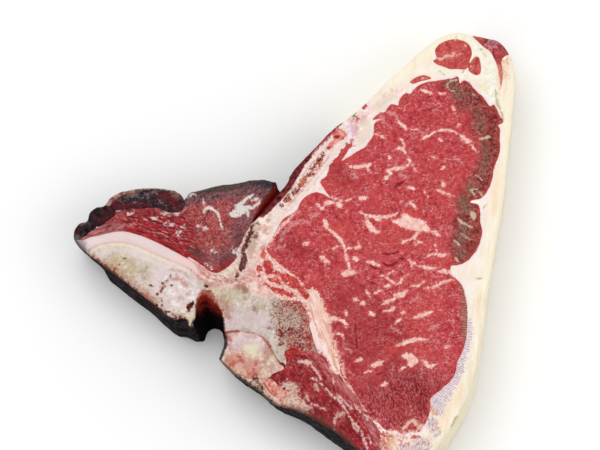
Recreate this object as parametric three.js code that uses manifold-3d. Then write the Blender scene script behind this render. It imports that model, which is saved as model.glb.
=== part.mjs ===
// A raw t-bone steak that lies flat: the cut through a short loin, with the large strip loin
// muscle on one side of the T-shaped bone, the tenderloin on the other, and a thick cap of fat.
// Millimetres, +Z up. The steak rests on z = 0 and its saw-cut upper face is near z = THICKNESS.
import * as THREE from 'three';
import { mergeVertices } from 'three/addons/utils/BufferGeometryUtils.js';
import Module from 'manifold-3d';

const wasm = await Module();
wasm.setup();

// Driving dimensions
const STEAK_WIDTH = 198;
const THICKNESS = 30;
const GAP = 0.3;
const CRACK_FLOOR = 5;
const WAVE_HEIGHT = 0.45;
const WAVE_LENGTH = 24;
const CRAG_LENGTH = 9;

// Fineness of the faceted solids
const RIM_STEP = 4.2;
const CUT_STEP = 4.4;
const RELIEF_STEP = 5;

// The outlines are laid out in picture points of a view from above, 600 by 450 points, in which
// the steak is WIDTH_IN_VIEW points wide. The view leans by EYE_LEAN from straight down.
const VIEW_CENTRE = [300, 225];
const WIDTH_IN_VIEW = 440;
const ORIGIN_IN_VIEW = [295.38, 254.73];
const EYE_DISTANCE = 3000;
const EYE_LEAN = THREE.MathUtils.degToRad(12);

// The steak's rim, clockwise as seen from above, in stretches with their own wall. undercut is
// how far the foot of the wall stands back, and crag is how rough the wall is, in millimetres.
const RIM = [
  {
    name: 'sawn edge of the finger bone',
    undercut: 0.6,
    crag: 0.5,
    points: [[285, 180.5], [297, 166.5], [314.5, 148.5], [334.5, 128]],
  },
  {
    name: 'fat cap',
    undercut: 0.3,
    crag: 0.3,
    points: [
      [356, 112], [385, 84], [403, 67], [420, 52], [432, 43], [444, 35.5], [457, 32], [473, 35],
      [487, 38], [498, 41], [506, 49], [512, 61], [515.5, 82], [513, 108], [511, 135], [507, 165],
      [504, 197], [497, 240], [489.5, 285], [484, 330],
    ],
  },
  {
    name: 'fat of the lower end',
    undercut: -1.3,
    crag: 0.3,
    points: [[477, 368], [467, 397], [455, 421], [440, 444], [424, 463], [411, 477]],
  },
  {
    name: 'rounded lower end',
    undercut: 1,
    crag: 0.4,
    points: [[402, 481], [390, 474]],
  },
  {
    name: 'dry lower side',
    undercut: 0.6,
    crag: 1,
    points: [[372, 461], [350, 444], [330, 429]],
  },
  {
    name: 'dry side below the gristle',
    undercut: 2.4,
    crag: 0.8,
    points: [[307, 415], [291, 409]],
  },
  {
    name: 'facet bone',
    undercut: 4.8,
    crag: 0.6,
    points: [[274, 404], [260, 393], [235, 375.5], [219, 360]],
  },
  {
    name: 'sawn side of the vertebra',
    undercut: 0.4,
    crag: 0.6,
    points: [
      [190, 326], [184, 318], [176, 319.5], [165, 314], [150, 301], [135, 290], [119, 277.5],
      [109, 270],
    ],
  },
  {
    name: 'tip of the cross bone',
    undercut: 4.2,
    crag: 0.5,
    points: [[103, 265.5], [90, 256], [79, 246], [73.5, 238], [74, 229]],
  },
  {
    name: 'black dried end',
    undercut: 1.6,
    crag: 1.2,
    points: [[79, 222.5], [87, 220.5], [90, 213], [96, 207.5], [105, 205]],
  },
  {
    name: 'dark dried side',
    undercut: 1.4,
    crag: 1.2,
    points: [
      [112, 197], [126, 190.5], [150, 187], [170, 189.5], [180, 194], [184, 198.5], [190, 191.5],
      [203, 188.5], [230, 183.5], [262, 179],
    ],
  },
];

// The open crack between the tenderloin and the finger bone, as wide as it is at the top
const CRACK_TENDERLOIN_SIDE = [[279, 176], [271, 190], [264, 200], [258, 211], [252, 222]];
const CRACK_BONE_SIDE = [[290, 177], [276, 196], [266, 207], [259, 215], [252, 222]];

// The half of the spinal canal that the saw left open, at the upper face and at the foot
const CANAL_TOP = [
  [219.5, 359.5], [224, 348], [225.5, 340], [224, 328], [223, 318], [220, 309], [213, 301],
  [205, 294], [200, 296], [196.5, 305], [195.5, 315], [190, 326], [180, 345], [205, 372],
];
const CANAL_FOOT = [
  [215, 342], [217, 336], [219, 331], [220, 326], [220.5, 321], [218, 318], [213, 317],
  [209, 319], [206, 322], [204.5, 326], [202, 330], [194, 332], [180, 345], [203, 365],
];

// Low forms of the upper face: a ridge or a hollow along a line, with its height and its
// half width in millimetres
const RELIEF = [
  { name: 'strip loin, upper dome', height: 0.9, width: 26, line: [[345, 205], [400, 165], [445, 135]] },
  { name: 'strip loin, lower dome', height: 0.7, width: 24, line: [[405, 240], [400, 300], [400, 370]] },
  { name: 'tenderloin dome', height: 0.5, width: 10, line: [[135, 219], [190, 228], [232, 232]] },
  { name: 'cross bone', height: 0.6, width: 13, line: [[115, 258], [165, 285], [240, 305], [285, 320]] },
  { name: 'fat seam', height: -0.9, width: 2.6, line: [[303, 293], [318, 330], [333, 362], [360, 402]] },
  { name: 'marrow of the finger bone', height: -0.9, width: 2.2, line: [[286, 200], [306, 178], [322, 157], [338, 135]] },
  { name: 'seam under the dark strap', height: -1.3, width: 2, line: [[116, 209], [145, 208], [168, 211], [184, 203]] },
  { name: 'dried upper edge', height: -1.4, width: 4, line: [[190, 190], [230, 184], [272, 182]] },
  { name: 'dark strap edge', height: -1.2, width: 3.6, line: [[112, 198], [150, 187], [178, 194]] },
  { name: 'black end hollow', height: -1.5, width: 3.4, line: [[76, 229], [92, 226], [106, 221]] },
  { name: 'seam round the facet bone', height: -0.9, width: 1.6, line: [[230, 332], [262, 335], [284, 366]] },
  { name: 'tail muscle dome', height: 0.6, width: 7, line: [[445, 52], [462, 56]] },
];

// The pieces, in the order in which they claim their place. Each outline may run past the rim
// or into a piece that came before it.
const PIECES = [
  {
    node: 'cartilage',
    colour: 0xe3cecc,
    roughness: 0.35,
    outline: [
      [66, 240], [82, 240.5], [100, 235], [121, 231.5], [135, 234], [150, 239.5], [165, 246.5],
      [180, 254], [192, 261.5], [198, 270], [192, 270], [172, 259.5], [155, 252.5], [140, 247.5],
      [125, 243], [108, 243], [92, 248], [66, 262],
    ],
  },
  {
    node: 'vertebra',
    colour: 0xc7b6ab,
    roughness: 0.6,
    outline: [
      [90, 244], [76, 262], [110, 292], [160, 330], [192, 345], [206, 330], [225, 333],
      [240, 331], [255, 333], [266, 339], [274, 353], [281, 364], [284, 355], [294, 346.5],
      [305, 350], [315.5, 351], [312, 335], [307, 314], [300, 301.5], [280, 299], [266, 288],
      [257, 279], [257, 262], [264, 248], [275, 229], [292, 209], [309, 190], [328, 167],
      [345, 144], [348.5, 136], [345, 128], [332, 118], [312, 138], [292, 160], [281, 176],
      [276, 196], [266, 207], [258, 216], [251, 227], [248, 240], [249.5, 258], [246, 272],
      [237, 279.5], [224, 283], [203, 281], [195, 274], [180, 256], [140, 240], [110, 237],
    ],
  },
  {
    node: 'facet_bone',
    colour: 0xd2b4ae,
    roughness: 0.6,
    outline: [
      [206, 334], [224, 326], [250, 322], [274, 338], [286, 360], [283, 369], [276, 374],
      [268, 379], [260, 378], [264, 386], [270, 394], [280, 402], [281, 416], [235, 390],
      [206, 366],
    ],
  },
  {
    node: 'gristle',
    colour: 0xd99b8c,
    roughness: 0.45,
    outline: [
      [256, 372], [268, 378], [279, 387], [290, 394.5], [283, 399], [290, 414], [276, 418],
      [262, 396],
    ],
  },
  {
    node: 'strip_loin',
    colour: 0xbe5453,
    roughness: 0.42,
    outline: [
      [267, 250], [271, 257], [283, 266.5], [295, 276], [304, 287.5], [316, 290.5], [320, 299],
      [325, 312], [330, 331], [334, 347], [338, 358], [341, 372], [348, 385], [358, 399],
      [366, 413], [377, 422], [391, 431], [404, 435], [418, 431], [426, 420], [430.5, 403],
      [438, 391.5], [451, 380.5], [457, 365], [464.5, 346], [467, 325], [467, 305], [462, 287],
      [451, 274], [454, 266], [467, 261], [477, 250], [482, 232], [480, 214], [479.5, 202],
      [489, 188], [494.5, 170], [500, 150], [500, 130], [503, 121], [494, 106], [484, 98],
      [469, 83], [455, 77.5], [438, 81], [418, 86], [406, 94], [398, 105], [387, 108], [375, 119],
      [373, 134], [365, 148], [348, 157], [334, 163], [328, 173], [320.5, 181.5], [323, 189],
      [306, 197], [297, 210], [283, 220], [275, 232], [268, 243],
    ],
  },
  {
    node: 'side_muscle',
    colour: 0xb03d3c,
    roughness: 0.45,
    outline: [
      [262, 243], [268, 246], [285, 264], [306, 288], [312, 291], [307, 302], [290, 303],
      [270, 294], [256, 282], [252, 262],
    ],
  },
  {
    node: 'fat_seam',
    colour: 0xf0d8d0,
    roughness: 0.45,
    outline: [
      [304, 284], [322, 288], [332, 318], [345, 360], [352, 384], [364, 404], [354.5, 393],
      [344, 382], [331, 372.5], [327, 361], [317, 351], [308, 325], [299, 300],
    ],
  },
  {
    node: 'small_back_muscle',
    colour: 0x8a3230,
    roughness: 0.5,
    outline: [
      [281, 358], [294, 344], [320, 344], [332, 370], [345, 380], [356, 394], [367, 413],
      [377, 425], [381, 440], [387, 458], [392, 469], [393, 492], [330, 462], [280, 426],
      [270, 404], [262, 384], [272, 372],
    ],
  },
  {
    node: 'black_end',
    colour: 0x33262a,
    roughness: 0.7,
    outline: [
      [62, 242], [78, 240], [92, 230.5], [103, 224], [112, 217], [116, 211], [107, 205.5],
      [104, 196], [84, 200], [62, 216],
    ],
  },
  {
    node: 'dark_strap',
    colour: 0x483336,
    roughness: 0.7,
    outline: [
      [104, 205], [113, 209.5], [128, 209], [142, 208], [156, 207.5], [167, 210.5], [177, 212],
      [184, 208], [185.5, 199], [184, 180], [120, 178], [98, 196],
    ],
  },
  {
    node: 'crook_tissue',
    colour: 0xd8b8ab,
    roughness: 0.5,
    outline: [
      [253, 221.5], [247, 231], [243, 239], [240, 246], [237.5, 254], [231, 263.5], [220.5, 271.5],
      [214, 272], [202, 265], [190, 257.5], [192, 272], [204, 286], [240, 285], [254, 262],
      [253, 240], [262, 214],
    ],
  },
  {
    node: 'tenderloin',
    colour: 0x93464a,
    roughness: 0.5,
    outline: [
      [80, 240], [92, 229], [104, 222], [110, 206], [150, 200], [184, 190], [230, 172], [276, 168],
      [292, 178], [280, 196], [262, 218], [250, 232], [240, 256], [228, 270], [214, 276],
      [198, 268], [165, 250], [120, 236], [98, 240],
    ],
  },
  {
    node: 'tail_muscle',
    colour: 0xbc534f,
    roughness: 0.42,
    outline: [
      [433, 59], [434.5, 50], [441, 42.5], [450, 39.3], [460, 39.6], [469, 44.5], [472, 53],
      [469.5, 63], [464, 69.5], [449, 69], [438, 65.5],
    ],
  },
  {
    node: 'tail_tip_muscle',
    colour: 0xbe6961,
    roughness: 0.42,
    outline: [[470.8, 67], [474, 59], [478.4, 56.8], [481, 66], [479, 75], [472.5, 73.5]],
  },
  {
    node: 'tail_sliver',
    colour: 0xb4605c,
    roughness: 0.42,
    outline: [[410.5, 81.8], [416, 77], [423, 75], [431, 78], [423, 80.8], [416, 82.8]],
  },
  {
    node: 'edge_muscle',
    colour: 0xae706c,
    roughness: 0.6,
    outline: [
      [472, 34], [483, 45.5], [491, 53.5], [497, 64], [499.5, 75], [501, 86], [503.5, 74],
      [503.5, 62], [509, 54], [512, 44], [496, 28], [474, 26],
    ],
  },
];

const SCALE = STEAK_WIDTH / WIDTH_IN_VIEW;

// Lays a picture point on the plane of the upper face, with no regard to the origin.
function project([across, down]) {
  const p = (across - VIEW_CENTRE[0]) * SCALE;
  const q = (VIEW_CENTRE[1] - down) * SCALE;
  const k = 1 / (1 - (q * Math.tan(EYE_LEAN)) / EYE_DISTANCE);
  return new THREE.Vector2(k * p, (k * q) / Math.cos(EYE_LEAN));
}

const origin = project(ORIGIN_IN_VIEW);

function lay(point) {
  return project(point).sub(origin);
}

// A smooth closed curve through picture points, as evenly spaced points in millimetres. Each
// point also carries its place among the given ones, in `along`.
function smoothLoop(points, step) {
  const knots = points.map((point) => {
    const { x, y } = lay(point);
    return new THREE.Vector3(x, y, 0);
  });
  const curve = new THREE.CatmullRomCurve3(knots, true, 'centripetal');
  const count = Math.max(22, Math.round(curve.getLength() / step));
  const loop = [];
  for (let i = 0; i < count; i += 1) {
    const t = curve.getUtoTmapping(i / count);
    const { x, y } = curve.getPoint(t);
    loop.push({ x, y, along: t * points.length });
  }
  return loop;
}

// The outward normal at each point of a closed loop, whichever way round it runs.
function outwardNormals(loop) {
  const turn = THREE.ShapeUtils.area(loop) > 0 ? 1 : -1;
  return loop.map((point, i) => {
    const before = loop[(i + loop.length - 1) % loop.length];
    const after = loop[(i + 1) % loop.length];
    return new THREE.Vector2(after.y - before.y, before.x - after.x).normalize().multiplyScalar(turn);
  });
}

// Smooth noise from -1 to 1 on a lattice of one unit.
function noise(x, y, z) {
  const corner = (i, j, k) => {
    const s = Math.sin(i * 127.1 + j * 311.7 + k * 74.7) * 43758.5453;
    return 2 * (s - Math.floor(s)) - 1;
  };
  const ease = (t) => t * t * (3 - 2 * t);
  const [i, j, k] = [Math.floor(x), Math.floor(y), Math.floor(z)];
  const [a, b, c] = [ease(x - i), ease(y - j), ease(z - k)];
  let sum = 0;
  for (const [di, wi] of [[0, 1 - a], [1, a]]) {
    for (const [dj, wj] of [[0, 1 - b], [1, b]]) {
      for (const [dk, wk] of [[0, 1 - c], [1, c]]) {
        sum += wi * wj * wk * corner(i + di, j + dj, k + dk);
      }
    }
  }
  return sum;
}

function toSolid(geometry) {
  geometry.deleteAttribute('normal');
  geometry.deleteAttribute('uv');
  const merged = mergeVertices(geometry, 1e-4);
  const mesh = new wasm.Mesh({
    numProp: 3,
    vertProperties: new Float32Array(merged.attributes.position.array),
    triVerts: new Uint32Array(merged.index.array),
  });
  return new wasm.Manifold(mesh);
}

// Joins loops of equally many points, from the lowest up, into one closed solid.
function loft(rings) {
  const count = rings[0].length;
  const positions = rings.flat().flatMap(({ x, y, z }) => [x, y, z]);
  const faces = [];
  const turn = THREE.ShapeUtils.area(rings[0]) > 0;
  const addFace = (a, b, c) => faces.push(...(turn ? [a, b, c] : [a, c, b]));
  for (let level = 0; level + 1 < rings.length; level += 1) {
    for (let i = 0; i < count; i += 1) {
      const next = (i + 1) % count;
      const [a, b] = [level * count + i, level * count + next];
      addFace(a, b, b + count);
      addFace(a, b + count, a + count);
    }
  }
  for (const [ring, upwards] of [[0, false], [rings.length - 1, true]]) {
    const flat = rings[ring].map(({ x, y }) => new THREE.Vector2(x, y));
    const counterclockwise = turn ? flat : flat.slice().reverse();
    const place = (i) => ring * count + (turn ? i : count - 1 - i);
    for (const [a, b, c] of THREE.ShapeUtils.triangulateShape(counterclockwise, [])) {
      const corners = [place(a), place(b), place(c)];
      faces.push(...(upwards ? corners : corners.reverse()));
    }
  }
  const geometry = new THREE.BufferGeometry();
  geometry.setAttribute('position', new THREE.Float32BufferAttribute(positions, 3));
  geometry.setIndex(faces);
  return toSolid(geometry);
}

// An upright wall of full height round a loop, moved outwards by `growth`.
function prism(loop, growth) {
  const normals = outwardNormals(loop);
  const points = loop.map(({ x, y }, i) => (
    new THREE.Vector2(x + growth * normals[i].x, y + growth * normals[i].y)
  ));
  const geometry = new THREE.ExtrudeGeometry(new THREE.Shape(points), {
    depth: THICKNESS + 20,
    bevelEnabled: false,
    steps: 1,
  });
  geometry.translate(0, 0, -10);
  return toSolid(geometry);
}

// Wall values of the rim at a place among its points, blended from one stretch to the next.
const rimPoints = RIM.flatMap((stretch) => stretch.points);
const rimWalls = RIM.flatMap(({ points, undercut, crag }) => points.map(() => ({ undercut, crag })));

function wallAt(along) {
  const index = Math.floor(along) % rimWalls.length;
  const share = along - Math.floor(along);
  const [here, next] = [rimWalls[index], rimWalls[(index + 1) % rimWalls.length]];
  return {
    undercut: THREE.MathUtils.lerp(here.undercut, next.undercut, share),
    crag: THREE.MathUtils.lerp(here.crag, next.crag, share),
  };
}

// The block out to the rim: rounded edges above and below, and rough walls that stand back at
// their foot. It is higher than the steak, whose upper face is cut afterwards.
function rimBlock() {
  const loop = smoothLoop(rimPoints, RIM_STEP);
  const normals = outwardNormals(loop);
  const levels = [
    { z: 0, inset: 0.6 },
    { z: 1.5, inset: -0.3 },
    { z: 8, inset: -0.5 },
    { z: 15, inset: -0.6 },
    { z: 22, inset: -0.5 },
    { z: 27, inset: -0.4 },
    { z: 29.2, inset: 0.1 },
    { z: THICKNESS + 4, inset: 4 },
  ];
  const rings = levels.map(({ z, inset }) => loop.map(({ x, y, along }, i) => {
    const { undercut, crag } = wallAt(along);
    const depth = Math.max(0, 1 - z / THICKNESS);
    const middle = Math.sin(Math.PI * Math.min(1, z / THICKNESS));
    const rough = crag * (0.25 + 0.75 * middle) * noise(x / CRAG_LENGTH, y / CRAG_LENGTH, z / CRAG_LENGTH);
    const out = rough - inset - undercut * depth;
    return { x: x + out * normals[i].x, y: y + out * normals[i].y, z };
  }));
  return loft(rings);
}

function distanceToLine(x, y, line) {
  let nearest = Infinity;
  for (let i = 0; i + 1 < line.length; i += 1) {
    const along = line[i + 1].clone().sub(line[i]);
    const from = new THREE.Vector2(x, y).sub(line[i]);
    const share = THREE.MathUtils.clamp(from.dot(along) / along.lengthSq(), 0, 1);
    nearest = Math.min(nearest, from.distanceTo(along.multiplyScalar(share)));
  }
  return nearest;
}

const reliefLines = RELIEF.map(({ height, width, line }) => ({ height, width, line: line.map(lay) }));

function upperFace(x, y) {
  let z = THICKNESS + WAVE_HEIGHT * noise(x / WAVE_LENGTH, y / WAVE_LENGTH, 0.5);
  for (const { height, width, line } of reliefLines) {
    const share = distanceToLine(x, y, line) / width;
    z += height * Math.exp(-share * share);
  }
  return z;
}

// A wide block whose top is the steak's upper face.
function reliefBlock(reach) {
  const steps = Math.round((2 * reach) / RELIEF_STEP);
  const geometry = new THREE.BoxGeometry(2 * reach, 2 * reach, 20, steps, steps, 1);
  geometry.translate(0, 0, 5);
  const position = geometry.attributes.position;
  for (let i = 0; i < position.count; i += 1) {
    if (position.getZ(i) > 0) {
      position.setZ(i, upperFace(position.getX(i), position.getY(i)));
    }
  }
  return toSolid(geometry);
}

// The crack is full width at the upper face and closes against the bone at CRACK_FLOOR.
function crackCutter() {
  const bone = CRACK_BONE_SIDE.map(lay);
  const meat = CRACK_TENDERLOIN_SIDE.map(lay);
  const ring = (z, openness) => [
    ...bone.map(({ x, y }) => ({ x, y, z })),
    ...meat.slice(0, -1).map((point, i) => {
      const { x, y } = point.clone().lerp(bone[i], 1 - openness);
      return { x, y, z };
    }).reverse(),
  ];
  return loft([ring(CRACK_FLOOR, 0.12), ring(THICKNESS / 2, 0.55), ring(THICKNESS + 6, 1.1)]);
}

function canalCutter() {
  const top = CANAL_TOP.map(lay);
  const foot = CANAL_FOOT.map(lay);
  const ring = (z) => top.map((point, i) => {
    const { x, y } = foot[i].clone().lerp(point, z / THICKNESS);
    return { x, y, z };
  });
  return loft([ring(-3), ring(THICKNESS + 3)]);
}

// The largest connected body of a solid's mesh, as a geometry.
function largestBody(solid) {
  const mesh = solid.getMesh();
  const parent = Array.from({ length: mesh.vertProperties.length / 3 }, (_, i) => i);
  const root = (i) => {
    let at = i;
    while (parent[at] !== at) {
      parent[at] = parent[parent[at]];
      at = parent[at];
    }
    return at;
  };
  for (let i = 0; i < mesh.triVerts.length; i += 3) {
    parent[root(mesh.triVerts[i + 1])] = root(mesh.triVerts[i]);
    parent[root(mesh.triVerts[i + 2])] = root(mesh.triVerts[i]);
  }
  const corner = (i) => new THREE.Vector3().fromArray(mesh.vertProperties, 3 * mesh.triVerts[i]);
  const volumes = new Map();
  for (let i = 0; i < mesh.triVerts.length; i += 3) {
    const volume = corner(i).dot(corner(i + 1).cross(corner(i + 2))) / 6;
    const body = root(mesh.triVerts[i]);
    volumes.set(body, (volumes.get(body) || 0) + volume);
  }
  const largest = [...volumes].reduce((best, entry) => (entry[1] > best[1] ? entry : best))[0];
  const faces = [];
  for (let i = 0; i < mesh.triVerts.length; i += 3) {
    if (root(mesh.triVerts[i]) === largest) {
      faces.push(mesh.triVerts[i], mesh.triVerts[i + 1], mesh.triVerts[i + 2]);
    }
  }
  const geometry = new THREE.BufferGeometry();
  geometry.setAttribute('position', new THREE.Float32BufferAttribute(mesh.vertProperties, 3));
  geometry.setIndex(faces);
  return geometry;
}

function toMesh(node, solid, colour, roughness) {
  const geometry = largestBody(solid);
  geometry.computeVertexNormals();
  const material = new THREE.MeshStandardMaterial({ color: colour, roughness, metalness: 0, flatShading: true });
  const mesh = new THREE.Mesh(geometry, material);
  mesh.name = node;
  return mesh;
}

const steak = new THREE.Group();
steak.name = 't_bone_steak';

let rest = rimBlock().intersect(reliefBlock(112)).subtract(crackCutter()).subtract(canalCutter());
for (const { node, outline, colour, roughness } of PIECES) {
  const loop = smoothLoop(outline, CUT_STEP);
  steak.add(toMesh(node, rest.intersect(prism(loop, 0)), colour, roughness));
  rest = rest.subtract(prism(loop, GAP));
}
// What is left of the block is the fat: the cap, the tail and the lower end in one body.
steak.add(toMesh('fat_cap', rest, 0xf0e2cf, 0.4));

export default steak;
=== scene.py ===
import math

import bpy
import numpy as np
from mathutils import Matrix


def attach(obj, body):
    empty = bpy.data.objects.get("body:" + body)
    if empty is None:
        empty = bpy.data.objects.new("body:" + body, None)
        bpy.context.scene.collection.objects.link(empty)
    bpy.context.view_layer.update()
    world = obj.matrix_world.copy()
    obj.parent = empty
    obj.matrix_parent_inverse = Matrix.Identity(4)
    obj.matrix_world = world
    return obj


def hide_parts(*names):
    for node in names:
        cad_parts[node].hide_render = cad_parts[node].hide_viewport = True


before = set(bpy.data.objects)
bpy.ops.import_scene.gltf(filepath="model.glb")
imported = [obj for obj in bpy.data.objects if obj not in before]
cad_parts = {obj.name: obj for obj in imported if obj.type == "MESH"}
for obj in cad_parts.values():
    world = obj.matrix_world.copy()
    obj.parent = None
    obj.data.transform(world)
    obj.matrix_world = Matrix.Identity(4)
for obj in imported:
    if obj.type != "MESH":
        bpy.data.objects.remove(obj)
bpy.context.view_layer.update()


# The slice itself
# A t-bone steak is sawn straight across a short loin, so every piece in it is an upright column
# between two flat cut faces. The pieces are cut from one block: its rim, its crack beside the
# finger bone, the open half of the spinal canal, and a gently uneven upper face.

MM = 0.001
THICKNESS = 30.0
POINT_WIDTH = 0.45
EYE_DISTANCE = 3000.0
EYE_LEAN = math.radians(12)
VIEW_SIZE = (600, 450)
ORIGIN_IN_VIEW = (295.38, 254.73)
CURVE_STEPS = 8
GRID_STEP = 0.5
GRID_HALF = (103, 107)
COARSE = 4
REACH = 14.0


def project(points):
    """Picture points laid on the upper face, in mm: the view plane's place divided by the cosine
    of the eye's lean, and scaled up a little with its distance from the eye."""
    across, down = np.asarray(points, float).T
    p = (across - VIEW_SIZE[0] / 2) * POINT_WIDTH
    q = (VIEW_SIZE[1] / 2 - down) * POINT_WIDTH
    k = 1 / (1 - q * math.tan(EYE_LEAN) / EYE_DISTANCE)
    return np.stack([k * p, k * q / math.cos(EYE_LEAN)], -1)


ORIGIN = project([ORIGIN_IN_VIEW])[0]


def smooth(points, closed=True, steps=CURVE_STEPS):
    """A centripetal Catmull-Rom curve through picture points, in mm: between each two points a
    cubic whose end slopes come from their neighbours, weighted by the roots of the distances."""
    knots = project(points) - ORIGIN
    if closed:
        knots = np.concatenate([knots[-1:], knots, knots[:2]])
    else:
        knots = np.concatenate([2 * knots[:1] - knots[1:2], knots, 2 * knots[-1:] - knots[-2:-1]])
    gaps = np.maximum(np.linalg.norm(np.diff(knots, axis=0), axis=1), 1e-6) ** 0.5
    p0, p1, p2, p3 = (knots[i:len(knots) - 3 + i] for i in range(4))
    g0, g1, g2 = (gaps[i:len(gaps) - 2 + i, None] for i in range(3))
    s1 = ((p1 - p0) / g0 - (p2 - p0) / (g0 + g1) + (p2 - p1) / g1) * g1
    s2 = ((p2 - p1) / g1 - (p3 - p1) / (g1 + g2) + (p3 - p2) / g2) * g1
    t = (np.arange(steps) / steps)[None, :, None]
    p1, p2, s1, s2 = (part[:, None, :] for part in (p1, p2, s1, s2))
    cubic = p1 + s1 * t + (3 * (p2 - p1) - 2 * s1 - s2) * t**2 + (2 * (p1 - p2) + s1 + s2) * t**3
    line = cubic.reshape(-1, 2)
    return np.concatenate([line, line[:1] if closed else knots[-2:-1]])


columns, rows = (np.arange(-half, half + GRID_STEP / 2, GRID_STEP) for half in GRID_HALF)
X, Y = np.meshgrid(columns, rows)


def near(line, half_width=0.0, reach=REACH):
    """How far each grid node is from a line, less the line's half width there, up to a reach:
    the least over the line's short stretches of the distance to the stretch."""
    field = np.full(X.shape, float(reach))
    halves = np.broadcast_to(half_width, len(line) - 1)
    for start, end, half in zip(line[:-1], line[1:], halves):
        low = np.minimum(start, end) - reach
        high = np.maximum(start, end) + reach
        j0, j1 = np.searchsorted(columns, (low[0], high[0]))
        i0, i1 = np.searchsorted(rows, (low[1], high[1]))
        x, y = X[i0:i1, j0:j1] - start[0], Y[i0:i1, j0:j1] - start[1]
        dx, dy = end - start
        share = np.clip((x * dx + y * dy) / max(dx * dx + dy * dy, 1e-9), 0, 1)
        away = np.hypot(x - share * dx, y - share * dy) - half
        field[i0:i1, j0:j1] = np.minimum(field[i0:i1, j0:j1], away)
    return field


def area(line):
    """Signed distance to a closed line, negative inside. A node is inside where the line crosses
    its row an odd number of times to its left."""
    a, b = line[:-1], line[1:]
    crossed = (a[:, 1] <= rows[:, None]) != (b[:, 1] <= rows[:, None])
    row, edge = np.nonzero(crossed)
    share = (rows[row] - a[edge, 1]) / (b[edge, 1] - a[edge, 1])
    column = np.searchsorted(columns, a[edge, 0] + share * (b[edge, 0] - a[edge, 0]))
    flips = np.zeros((len(rows), len(columns) + 1), int)
    np.add.at(flips, (row, column), 1)
    within = np.cumsum(flips, axis=1)[:, :-1] % 2 == 1
    return np.where(within, -1, 1) * near(line)


HASH_TURNS = (127.1, 311.7, 74.7)
HASH_SCALE = 43758.5453


def noise(x, y, z):
    """Smooth noise from -1 to 1: hashed values on a lattice of one unit, eased between corners. A
    hash is the fraction of a large multiple of the sine of the corner's turned place."""
    total = 0
    cell = [np.floor(value) for value in (x, y, z)]
    part = [value - low for value, low in zip((x, y, z), cell)]
    ease = [t * t * (3 - 2 * t) for t in part]
    for corner in range(8):
        step = [corner >> axis & 1 for axis in range(3)]
        i, j, k = (low + shift for low, shift in zip(cell, step))
        hashed = np.sin(i * HASH_TURNS[0] + j * HASH_TURNS[1] + k * HASH_TURNS[2]) * HASH_SCALE
        weight = 1
        for shift, share in zip(step, ease):
            weight = weight * (share if shift else 1 - share)
        total = total + weight * (2 * (hashed - np.floor(hashed)) - 1)
    return total


# Stretches of the rim, clockwise from above: how far the foot stands back, how rough the wall
# is, and the picture points of the upper edge.
RIM = [
    ("sawn edge of the finger bone", 0.6, 0.5, [(285, 180.5), (297, 166.5), (314.5, 148.5), (334.5, 128)]),
    ("fat cap", 0.3, 0.3, [
        (356, 112), (385, 84), (403, 67), (420, 52), (432, 43), (444, 35.5), (457, 32), (473, 35),
        (487, 38), (498, 41), (506, 49), (512, 61), (515.5, 82), (513, 108), (511, 135),
        (507, 165), (504, 197), (497, 240), (489.5, 285), (484, 330)]),
    ("fat of the lower end", -1.3, 0.3, [
        (477, 368), (467, 397), (455, 421), (440, 444), (424, 463), (411, 477)]),
    ("rounded lower end", 1.0, 0.4, [(402, 481), (390, 474)]),
    ("dry lower side", 0.6, 1.0, [(372, 461), (350, 444), (330, 429)]),
    ("dry side below the gristle", 2.4, 0.8, [(307, 415), (291, 409)]),
    ("facet bone", 4.8, 0.6, [(274, 404), (260, 393), (235, 375.5), (219, 360)]),
    ("sawn side of the vertebra", 0.4, 0.6, [
        (190, 326), (184, 318), (176, 319.5), (165, 314), (150, 301), (135, 290), (119, 277.5),
        (109, 270)]),
    ("tip of the cross bone", 4.2, 0.5, [(103, 265.5), (90, 256), (79, 246), (73.5, 238), (74, 229)]),
    ("black dried end", 1.6, 1.2, [(79, 222.5), (87, 220.5), (90, 213), (96, 207.5), (105, 205)]),
    ("dark dried side", 1.4, 1.2, [
        (112, 197), (126, 190.5), (150, 187), (170, 189.5), (180, 194), (184, 198.5),
        (190, 191.5), (203, 188.5), (230, 183.5), (262, 179)]),
]
CRACK_MEAT_SIDE = [(279, 176), (271, 190), (264, 200), (258, 211), (252, 222)]
CRACK_BONE_SIDE = [(290, 177), (276, 196), (266, 207), (259, 215), (252, 222)]
CANAL_TOP = [
    (219.5, 359.5), (224, 348), (225.5, 340), (224, 328), (223, 318), (220, 309), (213, 301),
    (205, 294), (200, 296), (196.5, 305), (195.5, 315), (190, 326), (180, 345), (205, 372)]
CANAL_FOOT = [
    (215, 342), (217, 336), (219, 331), (220, 326), (220.5, 321), (218, 318), (213, 317),
    (209, 319), (206, 322), (204.5, 326), (202, 330), (194, 332), (180, 345), (203, 365)]

rim_points = [point for _, _, _, points in RIM for point in points]
rim = smooth(rim_points)
crack = area(smooth(CRACK_MEAT_SIDE + CRACK_BONE_SIDE[-2::-1], steps=4))
canal = area(smooth(CANAL_TOP))
block = np.maximum(area(rim), np.maximum(-crack, -canal))


def spread(anchors, vectors, reach):
    """Vectors given at anchor points, carried over the coarse grid: their mean weighted by the
    inverse fourth power of the distance, fading out over a reach from the nearest anchor."""
    x, y = X[::COARSE, ::COARSE], Y[::COARSE, ::COARSE]
    total, weights, nearest = 0, 0, np.full(x.shape, 1e9)
    for (ax, ay), vector in zip(anchors, vectors):
        square = (x - ax) ** 2 + (y - ay) ** 2 + 0.1
        weight = square ** -2
        total = total + weight[..., None] * vector
        weights = weights + weight
        nearest = np.minimum(nearest, square)
    return total / weights[..., None] * np.exp(-nearest / reach**2)[..., None]


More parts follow.
